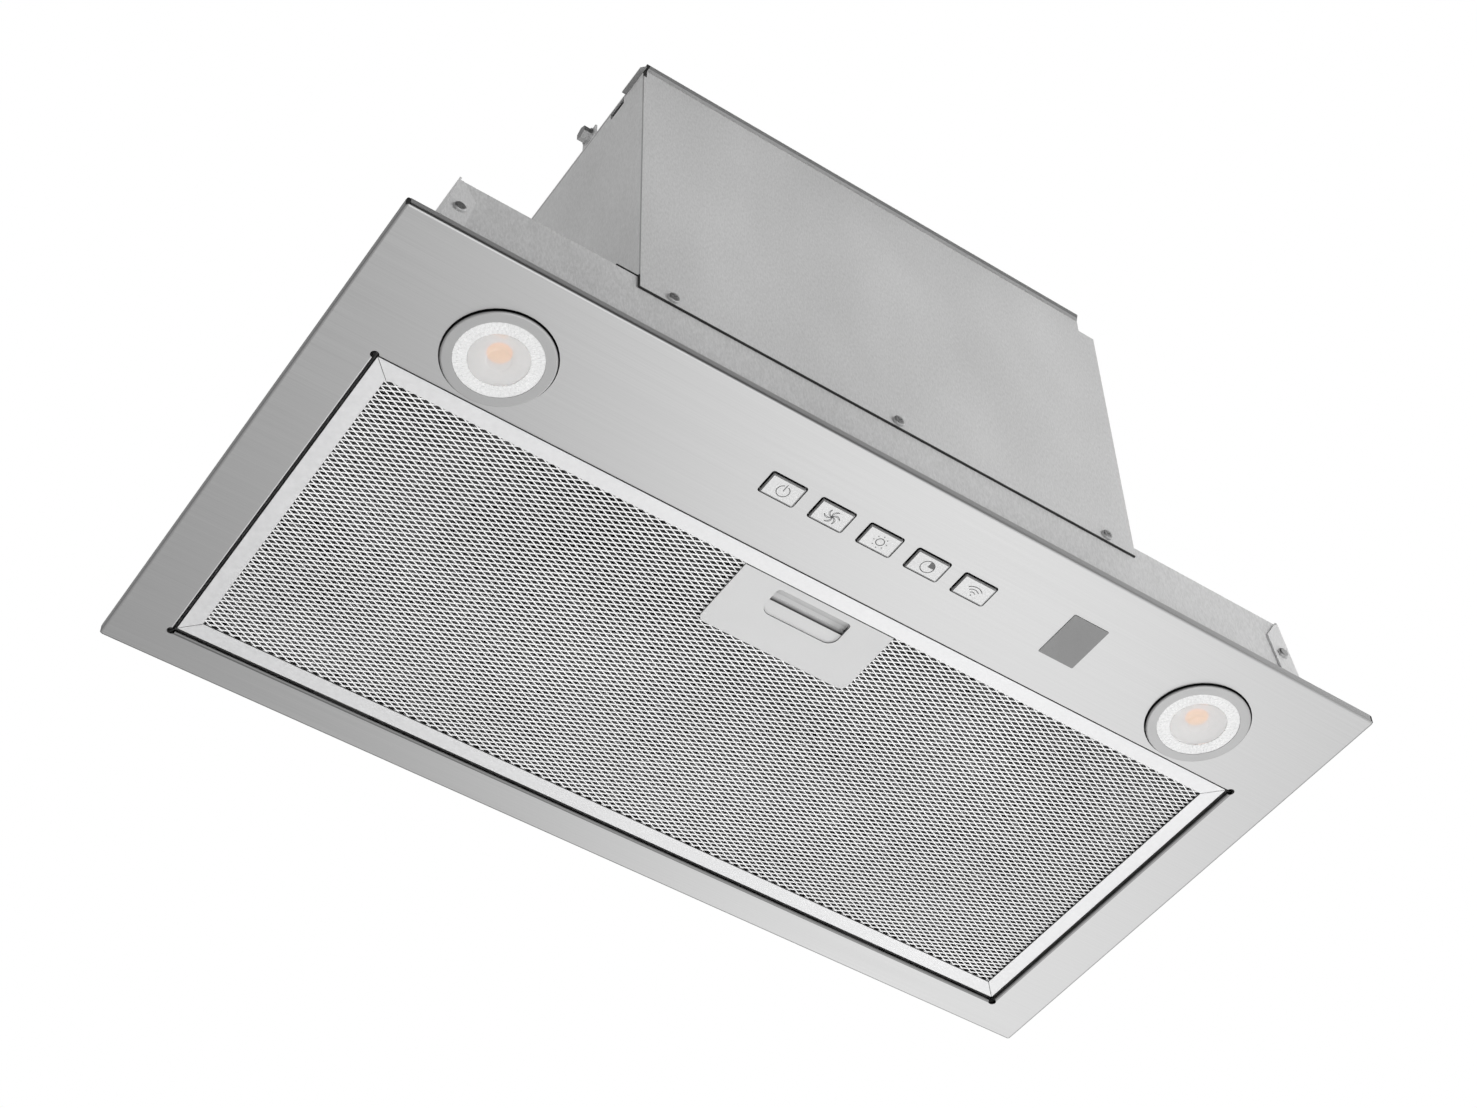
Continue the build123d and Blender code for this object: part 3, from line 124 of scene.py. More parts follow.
def joinPieces(pieces, name):
    clearSelection()
    for piece in pieces:
        piece.select_set(True)
    bpy.context.view_layer.objects.active = pieces[0]
    bpy.ops.object.join()
    return startPiece(name)


def smooth(piece, angle):
    makeActive(piece)
    bpy.ops.object.shade_smooth_by_angle(angle=math.radians(angle))


def dress(piece, material, body, slotName, *stoodFor):
    piece.data.materials.clear()
    piece.data.materials.append(material)
    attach(piece, body)
    if stoodFor:
        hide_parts(*stoodFor)


# Camera: the photograph's own viewpoint, below the front left corner
cameraPlace = {
    "eye": (-509.76, -707.03, -920.39),
    "right": (0.82445, -0.56569, -0.01645),
    "down": (0.41959, 0.63051, -0.65299),
    "forward": (0.37977, 0.53145, 0.75719),
    "focal": 2706.6,  # in pixels of the frame
    "frameWide": 1477,
    "sensor": 36.0,
    "nearest": 0.02,  # metres
    "farthest": 60,
}
clearSelection()
bpy.ops.object.camera_add()
hoodCamera = bpy.context.object
hoodCamera.name = "hoodCamera"
hoodCamera.data.sensor_fit = "HORIZONTAL"
hoodCamera.data.sensor_width = cameraPlace["sensor"]
hoodCamera.data.lens = cameraPlace["focal"] / cameraPlace["frameWide"] * cameraPlace["sensor"]
hoodCamera.data.clip_start = cameraPlace["nearest"]
hoodCamera.data.clip_end = cameraPlace["farthest"]
eye = Vector(cameraPlace["eye"]) * mm
axes = [Vector(cameraPlace["right"]), -Vector(cameraPlace["down"]), -Vector(cameraPlace["forward"])]
hoodCamera.matrix_world = Matrix(
    [[axes[0][i], axes[1][i], axes[2][i], eye[i]] for i in range(3)] + [[0, 0, 0, 1]]
)
bpy.context.scene.camera = hoodCamera
bpy.context.scene.view_settings.view_transform = "Standard"

# Studio: a pale floor below the camera, an even sky and soft lamps
studio = {
    "skyLeft": 0.36,
    "skyRight": 0.66,
    "shineLeft": 0.12,  # what metal sees of the sky, dark to the left and bright to the right
    "shineRight": 0.95,
    "shineFrom": 0.26,
    "shineTo": 0.74,
    "shineBack": 0.22,  # and a little more of it towards the back
    "floorHigh": -1420,
    "floorSize": 14000,
    "floorColour": 0.86,
    "mirrorSlant": -0.6,  # what metal sees on the floor: a bright band that runs from front to right
    "mirrorMiddle": 0.8,
    "mirrorFrom": -0.6,
    "mirrorTo": 1.8,
    "mirrorPeak": 1.36,
    "mirrorBand": [
        (0.0, 0.30), (0.21, 0.33), (0.32, 0.42), (0.42, 0.62), (0.5, 0.82),
        (0.6, 1.0), (0.72, 0.94), (0.85, 0.66), (1.0, 0.52),
    ],
    "fadeFrom": 2.4,
    "fadeTo": 5.5,
    "lamps": {
        # name: place, target, size, power, seen in reflections
        "underLamp": ((-200, -300, -1360), (0, 0, 0), 1500, 10.6, False),
        "frontLamp": ((950, -1250, 250), (0, 0, 120), 900, 14.0, False),
        "leftLamp": ((-1600, -150, 330), (0, 0, 150), 900, 8.6, False),
        "rightLamp": ((1250, -650, -850), (0, 0, 0), 700, 6.4, False),
        "topLamp": ((300, 200, 1900), (0, 0, 200), 1600, 12.0, False),
        "backLamp": ((-500, 1500, 450), (0, 60, 140), 1000, 9.0, False),
    },
}


def makeSky():
    sky = bpy.data.worlds.new("studioSky")
    bpy.context.scene.world = sky
    sky.use_nodes = True
    tree = sky.node_tree
    background = tree.nodes["Background"]
    way = tree.nodes.new("ShaderNodeTexCoord")
    parts = tree.nodes.new("ShaderNodeSeparateXYZ")
    slope = tree.nodes.new("ShaderNodeMapRange")
    slope.inputs["From Min"].default_value = -1
    slope.inputs["To Min"].default_value = studio["skyLeft"]
    slope.inputs["To Max"].default_value = studio["skyRight"]
    side = tree.nodes.new("ShaderNodeMapRange")
    side.interpolation_type = "SMOOTHSTEP"
    side.inputs["From Min"].default_value = studio["shineFrom"]
    side.inputs["From Max"].default_value = studio["shineTo"]
    side.inputs["To Min"].default_value = studio["shineLeft"]
    side.inputs["To Max"].default_value = studio["shineRight"]
    shine = tree.nodes.new("ShaderNodeMath")
    shine.operation = "MULTIPLY_ADD"
    shine.use_clamp = True
    shine.inputs[1].default_value = studio["shineBack"]
    either = tree.nodes.new("ShaderNodeMix")
    rays = tree.nodes.new("ShaderNodeLightPath")
    shown = tree.nodes.new("ShaderNodeMath")
    shown.operation = "MAXIMUM"
    level = tree.nodes.new("ShaderNodeMix")
    level.inputs["B"].default_value = 1.0
    tree.links.new(way.outputs["Generated"], parts.inputs[0])
    tree.links.new(parts.outputs["X"], slope.inputs["Value"])
    tree.links.new(rays.outputs["Is Camera Ray"], shown.inputs[0])
    tree.links.new(rays.outputs["Is Transmission Ray"], shown.inputs[1])
    tree.links.new(shown.outputs[0], level.inputs["Factor"])
    tree.links.new(parts.outputs["X"], side.inputs["Value"])
    tree.links.new(parts.outputs["Y"], shine.inputs[0])
    tree.links.new(side.outputs["Result"], shine.inputs[2])
    tree.links.new(rays.outputs["Is Glossy Ray"], either.inputs["Factor"])
    tree.links.new(slope.outputs["Result"], either.inputs["A"])
    tree.links.new(shine.outputs[0], either.inputs["B"])
    tree.links.new(either.outputs["Result"], level.inputs["A"])
    tree.links.new(level.outputs["Result"], background.inputs["Strength"])
    background.inputs["Color"].default_value = (1, 1, 1, 1)


def makeFloor():
    clearSelection()
    floorPlace = (0, 0, studio["floorHigh"] * mm)
    bpy.ops.mesh.primitive_plane_add(size=studio["floorSize"] * mm, location=floorPlace)
    floor = startPiece("studioFloor")
    settle(floor)
    paint = bpy.data.materials.new("floorPaint")
    paint.use_nodes = True
    tree = paint.node_tree
    tree.nodes.clear()
    out = tree.nodes.new("ShaderNodeOutputMaterial")
    matt = tree.nodes.new("ShaderNodeBsdfDiffuse")
    matt.inputs["Color"].default_value = (*[studio["floorColour"]] * 3, 1)
    glow = tree.nodes.new("ShaderNodeEmission")
    clear = tree.nodes.new("ShaderNodeBsdfTransparent")
    rays = tree.nodes.new("ShaderNodeLightPath")
    place = tree.nodes.new("ShaderNodeTexCoord")
    parts = tree.nodes.new("ShaderNodeSeparateXYZ")
    shift = tree.nodes.new("ShaderNodeMath")
    shift.operation = "SUBTRACT"
    shift.inputs[1].default_value = studio["mirrorMiddle"]
    slant = tree.nodes.new("ShaderNodeMath")
    slant.operation = "MULTIPLY_ADD"
    slant.inputs[1].default_value = studio["mirrorSlant"]
    slope = tree.nodes.new("ShaderNodeMapRange")
    slope.inputs["From Min"].default_value = studio["mirrorFrom"]
    slope.inputs["From Max"].default_value = studio["mirrorTo"]
    band = tree.nodes.new("ShaderNodeValToRGB")
    stops = band.color_ramp.elements
    while len(stops) < len(studio["mirrorBand"]):
        stops.new(0.5)
    for stop, (at, level) in zip(stops, studio["mirrorBand"]):
        stop.position = at
        stop.color = (level, level, level, 1)
    glow.inputs["Strength"].default_value = studio["mirrorPeak"]
    far = tree.nodes.new("ShaderNodeVectorMath")
    far.operation = "LENGTH"
    fade = tree.nodes.new("ShaderNodeMapRange")
    fade.interpolation_type = "SMOOTHSTEP"
    fade.inputs["From Min"].default_value = studio["fadeFrom"]
    fade.inputs["From Max"].default_value = studio["fadeTo"]
    seenFade = tree.nodes.new("ShaderNodeMath")
    seenFade.operation = "MULTIPLY"
    mirror = tree.nodes.new("ShaderNodeMixShader")
    whole = tree.nodes.new("ShaderNodeMixShader")
    tree.links.new(place.outputs["Object"], parts.inputs[0])
    tree.links.new(parts.outputs["Y"], shift.inputs[0])
    tree.links.new(shift.outputs[0], slant.inputs[0])
    tree.links.new(parts.outputs["X"], slant.inputs[2])
    tree.links.new(slant.outputs[0], slope.inputs["Value"])
    tree.links.new(slope.outputs["Result"], band.inputs["Fac"])
    tree.links.new(band.outputs["Color"], glow.inputs["Color"])
    tree.links.new(place.outputs["Object"], far.inputs[0])
    tree.links.new(far.outputs["Value"], fade.inputs["Value"])
    tree.links.new(fade.outputs["Result"], seenFade.inputs[0])
    tree.links.new(rays.outputs["Is Camera Ray"], seenFade.inputs[1])
    tree.links.new(rays.outputs["Is Glossy Ray"], mirror.inputs["Fac"])
    tree.links.new(matt.outputs[0], mirror.inputs[1])
    tree.links.new(glow.outputs[0], mirror.inputs[2])
    tree.links.new(seenFade.outputs[0], whole.inputs["Fac"])
    tree.links.new(mirror.outputs[0], whole.inputs[1])
    tree.links.new(clear.outputs[0], whole.inputs[2])
    tree.links.new(whole.outputs[0], out.inputs["Surface"])
    floor.data.materials.append(paint)


def makeLamps():
    for name, (place, target, size, power, reflected) in studio["lamps"].items():
        clearSelection()
        bpy.ops.object.light_add(type="AREA", location=Vector(place) * mm)
        lamp = bpy.context.object
        lamp.name = name
        lamp.data.shape = "DISK"
        lamp.data.size = size * mm
        lamp.data.energy = power
        lamp.visible_glossy = reflected
        lamp.visible_camera = False
        look = (Vector(target) - Vector(place)) * mm
        lamp.rotation_euler = look.to_track_quat("-Z", "Y").to_euler()


makeSky()
makeFloor()
makeLamps()
print("studio ready")


# Finishes: each is a dark and a light tone mixed by a fine grain and a slow cloud
noiseRange = {"low": 0.3, "high": 0.7, "grainDetail": 3.0, "cloudDetail": 2.0}


def makeFinish(name, s):
    material = bpy.data.materials.new(name)
    material.use_nodes = True
    tree = material.node_tree
    shader = tree.nodes["Principled BSDF"]
    shader.inputs["Metallic"].default_value = s["metallic"]
    for socket, value in s.get("sockets", {}).items():
        shader.inputs[socket].default_value = value
    place = tree.nodes.new("ShaderNodeTexCoord")
    if "dullAbove" in s:
        start, end, metallic = s["dullAbove"]
        heights = tree.nodes.new("ShaderNodeSeparateXYZ")
        dull = tree.nodes.new("ShaderNodeMapRange")
        dull.inputs["From Min"].default_value = start * mm
        dull.inputs["From Max"].default_value = end * mm
        dull.inputs["To Min"].default_value = s["metallic"]
        dull.inputs["To Max"].default_value = metallic
        tree.links.new(place.outputs["Object"], heights.inputs[0])
        tree.links.new(heights.outputs["Z"], dull.inputs["Value"])
        tree.links.new(dull.outputs["Result"], shader.inputs["Metallic"])

    def noise(scale, detail):
        turn = tree.nodes.new("ShaderNodeMapping")
        turn.inputs["Scale"].default_value = scale
        cells = tree.nodes.new("ShaderNodeTexNoise")
        cells.inputs["Scale"].default_value = 1.0
        cells.inputs["Detail"].default_value = detail
        tree.links.new(place.outputs["Object"], turn.inputs["Vector"])
        tree.links.new(turn.outputs["Vector"], cells.inputs["Vector"])
        return cells.outputs[0]

    fine = noise(s["grain"], noiseRange["grainDetail"])
    cloud = noise(s["cloud"], noiseRange["cloudDetail"])
    blend = tree.nodes.new("ShaderNodeMix")
    blend.inputs["Factor"].default_value = s.get("cloudShare", 0.4)
    tree.links.new(fine, blend.inputs["A"])
    tree.links.new(cloud, blend.inputs["B"])
    spread = tree.nodes.new("ShaderNodeMapRange")
    spread.inputs["From Min"].default_value = noiseRange["low"]
    spread.inputs["From Max"].default_value = noiseRange["high"]
    tree.links.new(blend.outputs["Result"], spread.inputs["Value"])
    tones = tree.nodes.new("ShaderNodeMix")
    tones.data_type = "RGBA"
    tones.inputs["A"].default_value = (*s["dark"], 1)
    tones.inputs["B"].default_value = (*s["light"], 1)
    tree.links.new(spread.outputs["Result"], tones.inputs["Factor"])
    colour = tones.outputs["Result"]
    for start, end, tone, *inside in s.get("above", ()):  # another tone, from one height to the next
        parts = tree.nodes.new("ShaderNodeSeparateXYZ")
        rise = tree.nodes.new("ShaderNodeMapRange")
        rise.interpolation_type = "SMOOTHSTEP"
        rise.inputs["From Min"].default_value = start * mm
        rise.inputs["From Max"].default_value = end * mm
        second = tree.nodes.new("ShaderNodeMix")
        second.data_type = "RGBA"
        second.inputs["B"].default_value = (*tone, 1)
        tree.links.new(place.outputs["Object"], parts.inputs[0])
        tree.links.new(parts.outputs["Z"], rise.inputs["Value"])
        share = rise.outputs["Result"]
        for axis, middle, half in inside:  # only between two bounds along that axis
            bound = tree.nodes.new("ShaderNodeMath")
            bound.operation = "COMPARE"
            bound.inputs[1].default_value = middle * mm
            bound.inputs[2].default_value = half * mm
            both = tree.nodes.new("ShaderNodeMath")
            both.operation = "MULTIPLY"
            tree.links.new(parts.outputs[axis], bound.inputs[0])
            tree.links.new(bound.outputs[0], both.inputs[0])
            tree.links.new(share, both.inputs[1])
            share = both.outputs[0]
        tree.links.new(share, second.inputs["Factor"])
        tree.links.new(colour, second.inputs["A"])
        colour = second.outputs["Result"]
    tree.links.new(colour, shader.inputs["Base Color"])
    gloss = tree.nodes.new("ShaderNodeMapRange")
    gloss.inputs["From Min"].default_value = noiseRange["low"]
    gloss.inputs["From Max"].default_value = noiseRange["high"]
    gloss.inputs["To Min"].default_value = s["rough"][0]
    gloss.inputs["To Max"].default_value = s["rough"][1]
    tree.links.new(fine, gloss.inputs["Value"])
    tree.links.new(gloss.outputs["Result"], shader.inputs["Roughness"])
    if s.get("bump"):
        relief = tree.nodes.new("ShaderNodeBump")
        relief.inputs["Strength"].default_value = s["bump"]
        relief.inputs["Distance"].default_value = s.get("bumpDeep", 0.0001)
        tree.links.new(fine, relief.inputs["Height"])
        tree.links.new(relief.outputs["Normal"], shader.inputs["Normal"])
    return material


def grey(value):
    return (value, value, value)


finishSettings = {
    "brushed_stainless": {
        "dark": grey(0.64), "light": grey(0.71), "metallic": 1.0, "rough": (0.30, 0.40),
        "grain": (9, 2400, 2400), "cloud": (4, 700, 700), "cloudShare": 0.3,
        "bump": 0.06, "bumpDeep": 0.00004,
        "above": [  # painted shade: darker turned edges, black sides of the opening, and darker bands on the face along the outer bends and the bends beside the opening
            (0.7, 1.1, grey(0.62)),
            (1.7, 2.5, grey(0.40)),
            (-0.5, -0.4, grey(0.42), ("X", 264.8, 0.9)),
            (-0.5, -0.4, grey(0.42), ("Y", 140.8, 0.9)),
            (1.2, 3.2, grey(0.012), ("X", 0, 241), ("Y", 26.8, 97)),
            (-0.5, -0.4, grey(0.27), ("X", 0, 238.3), ("Y", 122.0, 0.8)),
            (-0.5, -0.4, grey(0.34), ("X", 239.3, 0.8), ("Y", 26.8, 94.2)),
        ],
        "dullAbove": (1.7, 2.5, 0.6),  # the rim is less metallic than the face, to go with its painted shade
    },
    "galvanised_steel": {
        "dark": grey(0.46), "light": grey(0.64), "metallic": 0.25, "rough": (0.42, 0.58),
        "grain": (1300, 1300, 420), "cloud": (16, 16, 9), "cloudShare": 0.35,
        "bump": 0.25, "bumpDeep": 0.0001,
    },
    "zinc_fastener": {
        "dark": grey(0.52), "light": grey(0.72), "metallic": 0.9, "rough": (0.25, 0.42),
        "grain": (1200, 1200, 1200), "cloud": (200, 200, 200), "bump": 0.1,
    },
    "filter_aluminium": {
        "dark": (0.78, 0.78, 0.785), "light": (0.86, 0.86, 0.865), "metallic": 0.5, "rough": (0.34, 0.46),
        "grain": (400, 400, 400), "cloud": (12, 12, 12), "bump": 0.06,
    },
    "filter_media": {
        # the foil deep in the filter is painted near black, in slow patches: painted shade
        "dark": grey(0.003), "light": grey(0.13), "metallic": 0.5, "rough": (0.28, 0.5),
        "grain": (300, 300, 300), "cloud": (13, 17, 17), "cloudShare": 0.8, "bump": 0.2,
    },
    "handle_grey": {
        "dark": grey(0.60), "light": grey(0.64), "metallic": 0.0, "rough": (0.42, 0.55),
        "grain": (2200, 2200, 2200), "cloud": (20, 20, 20), "bump": 0.06,
        # painted shade: dark on the plate's edges, the plain tone on its top, and darker deep in the scoop
        "above": [(1.04, 1.12, grey(0.22)), (1.7, 1.8, grey(0.62)), (3.6, 6.4, grey(0.30))],
    },
    "button_face": {
        "dark": grey(0.67), "light": grey(0.74), "metallic": 0.35, "rough": (0.33, 0.45),
        "grain": (60, 2200, 2200), "cloud": (60, 60, 60), "bump": 0.05,
        "above": [  # painted shade: the sides are darker, near black in the gap, and a painted shade line runs along the back and right edges of the face
            (-1.29, -1.25, grey(0.20)), (-0.9, -0.75, grey(0.30)), (-0.2, -0.05, grey(0.012)),
            (-1.5, -1.4, grey(0.24), ("Y", -97.3, 0.5)),
            *[(-1.5, -1.4, grey(0.30), ("X", 26.55 * place + 8.3, 0.4)) for place in (-2, -1, 0, 1, 2)],
        ],
    },
    "lamp_body": {
        "dark": grey(0.52), "light": grey(0.57), "metallic": 0.85, "rough": (0.38, 0.48),
        "grain": (1800, 1800, 1800), "cloud": (40, 40, 40), "bump": 0.05,
        # painted shade: the rim's side wall, up in the gap by the fascia's hole, is near black
        "above": [(-1.45, -0.5, grey(0.02))],
    },
    "lamp_lens": {
        "dark": grey(0.73), "light": grey(0.81), "metallic": 0.0, "rough": (0.18, 0.3),
        "grain": (900, 900, 900), "cloud": (90, 90, 90), "bump": 0.05,
        "sockets": {"Coat Weight": 0.3},
    },
    "lamp_chip": {
        "dark": (0.80, 0.42, 0.16), "light": (0.88, 0.52, 0.25), "metallic": 0.0, "rough": (0.35, 0.5),
        "grain": (3000, 3000, 3000), "cloud": (300, 300, 300), "bump": 0.05,
        # painted light: a faint glow on the chip
        "sockets": {"Emission Color": (1.0, 0.55, 0.26, 1), "Emission Strength": 0.44},
    },
    "socket_ceramic": {
        "dark": (0.80, 0.78, 0.73), "light": (0.88, 0.86, 0.81), "metallic": 0.0, "rough": (0.35, 0.5),
        "grain": (900, 900, 900), "cloud": (60, 60, 60), "bump": 0.1,
    },
    "display_lens": {
        "dark": grey(0.21), "light": grey(0.245), "metallic": 0.0, "rough": (0.32, 0.42),
        "grain": (2600, 2600, 2600), "cloud": (40, 40, 40), "bump": 0.03,
    },
    "black_plastic": {
        "dark": grey(0.012), "light": grey(0.028), "metallic": 0.0, "rough": (0.42, 0.6),
        "grain": (2400, 2400, 2400), "cloud": (80, 80, 80), "bump": 0.2,
    },
    "circuit_board": {
        "dark": (0.01, 0.09, 0.035), "light": (0.02, 0.17, 0.06), "metallic": 0.0, "rough": (0.3, 0.45),
        "grain": (260, 260, 260), "cloud": (500, 60, 60), "bump": 0.1,
    },
    "grey_plastic": {
        "dark": grey(0.24), "light": grey(0.31), "metallic": 0.0, "rough": (0.42, 0.58),
        "grain": (2000, 2000, 2000), "cloud": (60, 60, 60), "bump": 0.15,
    },
    "motor_iron": {
        "dark": grey(0.05), "light": grey(0.10), "metallic": 0.3, "rough": (0.45, 0.62),
        "grain": (1300, 1300, 1300), "cloud": (40, 40, 40), "bump": 0.4,
    },
    "rubber_mount": {
        "dark": grey(0.015), "light": grey(0.03), "metallic": 0.0, "rough": (0.6, 0.8),
        "grain": (1800, 1800, 1800), "cloud": (80, 80, 80), "bump": 0.3,
    },
    "wheel_plastic": {
        "dark": grey(0.02), "light": grey(0.04), "metallic": 0.0, "rough": (0.4, 0.55),
        "grain": (1800, 1800, 1800), "cloud": (60, 60, 60), "bump": 0.15,
    },
    "capacitor_can": {
        "dark": (0.74, 0.74, 0.71), "light": (0.82, 0.82, 0.79), "metallic": 0.0, "rough": (0.25, 0.38),
        "grain": (900, 900, 900), "cloud": (50, 50, 50), "bump": 0.05,
    },
    "icon_grey": {
        "dark": grey(0.11), "light": grey(0.16), "metallic": 0.0, "rough": (0.45, 0.6),
        "grain": (2500, 2500, 2500), "cloud": (200, 200, 200),
    },
    "mesh_aluminium": {
        "dark": grey(0.84), "light": grey(0.98), "metallic": 0.15, "rough": (0.26, 0.42),
        "grain": (700, 700, 700), "cloud": (11, 13, 13), "cloudShare": 0.6, "bump": 0.1,
    },
    "lamp_bowl": {
        "dark": grey(0.55), "light": grey(0.63), "metallic": 0.0, "rough": (0.12, 0.22),
        "grain": (900, 900, 900), "cloud": (80, 80, 80), "bump": 0.02,
        # painted light: a faint glow in place of the light let in by the lens
        "sockets": {"Emission Color": (1.0, 0.99, 0.98, 1), "Emission Strength": 0.27},
        "above": [  # painted reflection of the chip's colour on the bowl's front
            (-5, -4, (0.85, 0.42, 0.2), ("X", -200.5, 4.5), ("Y", -104.6, 1.8)),
            (-5, -4, (0.85, 0.42, 0.2), ("X", 187.5, 4.5), ("Y", -104.6, 1.8)),
        ],
    },
    "lens_clear": {
        "dark": grey(0.93), "light": grey(0.98), "metallic": 0.0, "rough": (0.09, 0.15),
        "grain": (500, 500, 500), "cloud": (60, 60, 60),
        "sockets": {"Transmission Weight": 0.72, "IOR": 1.42},
    },
}
galvanised = finishSettings["galvanised_steel"]
finishSettings["panel_painted_shade"] = dict(
    galvanised,  # painted shade on the lip's underside, darkest along its outer edge; a plainer tone on its top
    above=[
        (244.7, 244.9, grey(0.38)),
        (244.7, 244.9, grey(0.20), ("Y", -125.5, 0.8)),
        (245.5, 245.9, grey(0.50)),
    ],
)
# painted shade on the underside of the wrap's top lip; a plainer tone on its top
finishSettings["wrap_painted_shade"] = dict(
    galvanised, above=[(243.6, 243.9, grey(0.30)), (244.6, 244.9, grey(0.50))]
)
finishSettings["frame_painted_shade"] = dict(
    finishSettings["filter_aluminium"],  # painted shade: the frame's sides in the gap by the fascia and the mitre grooves are dark, with the plain tone again higher up
    above=[(1.06, 1.2, grey(0.10)), (3.0, 3.6, grey(0.80))],
)
finishSettings["latch_painted_shade"] = dict(  # painted shade under the tongue's edge, the plain tone again further in
    finishSettings["handle_grey"], above=[(2.06, 2.3, grey(0.02)), (2.6, 5.4, grey(0.60))]
)
# a lighter copy of the galvanised finish: painted light on the end walls
finishSettings["end_painted_light"] = dict(galvanised, dark=grey(0.53), light=grey(0.70))
ownFinish = {
    "box_front_panel": "panel_painted_shade", "box_wrap": "wrap_painted_shade",
    "left_end_wall": "end_painted_light", "right_end_wall": "end_painted_light",
    "latch_slider": "latch_painted_shade", "filter_frame": "frame_painted_shade",
}
finishes = {name: makeFinish(name, settings) for name, settings in finishSettings.items()}
for part in frame["record"]["subparts"]:
    node = cadNodes[part["node"]]
    if not node.material_slots:
        node.data.materials.append(None)
    for materialSlot in node.material_slots:
        materialSlot.material = finishes[ownFinish.get(part["node"], part["material_slot"])]
print("finishes ready:", len(finishes))


# Filter meshes: expanded sheet, drawn as zigzag ribbons that touch at their peaks
frontMesh = {
    "period": 5.8, "row": 1.475, "rise": 1.25, "wide": 0.56, "thick": 0.26, "tilt": -34.0,
    "columns": 81, "pairs": 62, "centre": (0.0, 26.3, 2.2), "half": (235.4, 91.8), "spin": 0.0,
    "gap": ((-25.2, -70.0), (25.2, -24.7)),  # clear of the cup behind the handle
}
backMesh = dict(frontMesh, centre=(0.0, 26.3, 8.8), gap=None)
foilLayers = [
    {
        "period": 8.4, "row": 2.3, "rise": 1.9, "wide": 1.15, "thick": 0.2, "tilt": -28.0,
        "columns": 62, "pairs": 50, "centre": (0.0, 26.3, 4.0), "half": (235.0, 91.5), "spin": 4.0,
        "gap": ((-26.0, -70.0), (26.0, -24.0)), "shake": 0.25,
    },
    {
        "period": 8.4, "row": 2.3, "rise": 1.9, "wide": 1.3, "thick": 0.2, "tilt": 30.0,
        "columns": 62, "pairs": 50, "centre": (0.0, 26.3, 6.6), "half": (235.0, 91.5), "spin": -5.0,
        "gap": ((-26.0, -70.0), (26.0, -24.0)), "shake": 0.3,
    },
]


def expandedSheet(name, s):
    clearSelection()
    bpy.ops.mesh.primitive_plane_add(size=1, rotation=(0, math.pi / 2, 0))
    sheet = startPiece(name)
    sheet.scale = (s["thick"] * mm, s["wide"] * mm, 1)
    settle(sheet)
    sheet.rotation_euler = (math.radians(s["tilt"]), 0, 0)  # each strand leans a little
    settle(sheet)
    half = s["period"] / 2 * mm
    editAll(sheet)
    for climb in (-1, 1):
        bpy.ops.mesh.extrude_region_move(
            TRANSFORM_OT_translate={"value": (half, climb * s["rise"] * mm, 0)}
        )
    closeEdit()
    editFaces(sheet, lambda face: abs(face.normal.x) > 0.98)
    bpy.ops.mesh.delete(type="ONLY_FACE")
    bpy.ops.mesh.select_all(action="SELECT")
    bpy.ops.mesh.duplicate_move(TRANSFORM_OT_translate={"value": (half, s["row"] * mm, 0)})
    closeEdit()
    along = sheet.modifiers.new("along", "ARRAY")
    along.count = s["columns"]
    along.use_relative_offset = False
    along.use_constant_offset = True
    along.constant_offset_displace = (s["period"] * mm, 0, 0)
    along.use_merge_vertices = True
    along.merge_threshold = 0.00001
    across = sheet.modifiers.new("across", "ARRAY")
    across.count = s["pairs"]
    across.use_relative_offset = False
    across.use_constant_offset = True
    across.constant_offset_displace = (0, 2 * s["row"] * mm, 0)
    applyModifiers(sheet)
    low = Vector([min(v.co[i] for v in sheet.data.vertices) for i in range(3)])
    high = Vector([max(v.co[i] for v in sheet.data.vertices) for i in range(3)])
    sheet.location = -(low + high) / 2
    settle(sheet)
    sheet.rotation_euler = (0, 0, math.radians(s["spin"]))
    sheet.location = Vector(s["centre"]) * mm
    settle(sheet)
    if s.get("shake"):
        editAll(sheet)
        bpy.ops.transform.vertex_random(offset=s["shake"] * mm, uniform=0.6, seed=11)
        closeEdit()
    trimSheet(sheet, s)
    return sheet


def trimSheet(sheet, s):  # takes off what passes the frame or the cup, and caps the cut strands
    corners = sheet.data.vertices
    middle = Vector(s["centre"]) * mm
    reach = [v * mm for v in s["half"]]

    def outside(point):
        return abs(point.x - middle.x) > reach[0] or abs(point.y - middle.y) > reach[1]

    def inGap(point):
        if not s["gap"]:
            return False
        low, high = s["gap"]
        return low[0] * mm < point.x < high[0] * mm and low[1] * mm < point.y < high[1] * mm

    bad = [outside(v.co) or inGap(v.co) for v in corners]
    editFaces(sheet, lambda face: any(bad[i] for i in face.vertices))
    bpy.ops.mesh.delete(type="FACE")
    bpy.context.tool_settings.mesh_select_mode = (False, True, False)
    bpy.ops.mesh.select_all(action="DESELECT")
    bpy.ops.mesh.select_non_manifold()
    bpy.ops.mesh.fill_holes(sides=4)
    bpy.ops.mesh.select_all(action="SELECT")
    bpy.ops.mesh.normals_make_consistent(inside=False)
    closeEdit()


meshFront = expandedSheet("filterMeshFront", frontMesh)
dress(meshFront, finishes["mesh_aluminium"], "filter", "filter_aluminium", "filter_front_mesh")
meshBack = expandedSheet("filterMeshBack", backMesh)
dress(meshBack, finishes["mesh_aluminium"], "filter", "filter_aluminium", "filter_back_mesh")
foil = joinPieces([expandedSheet("foilLayer", s) for s in foilLayers], "filterFoil")
dress(foil, finishes["filter_media"], "filter", "filter_media", "filter_core")
print("filter meshes made:", [len(piece.data.polygons) for piece in (meshFront, meshBack, foil)])


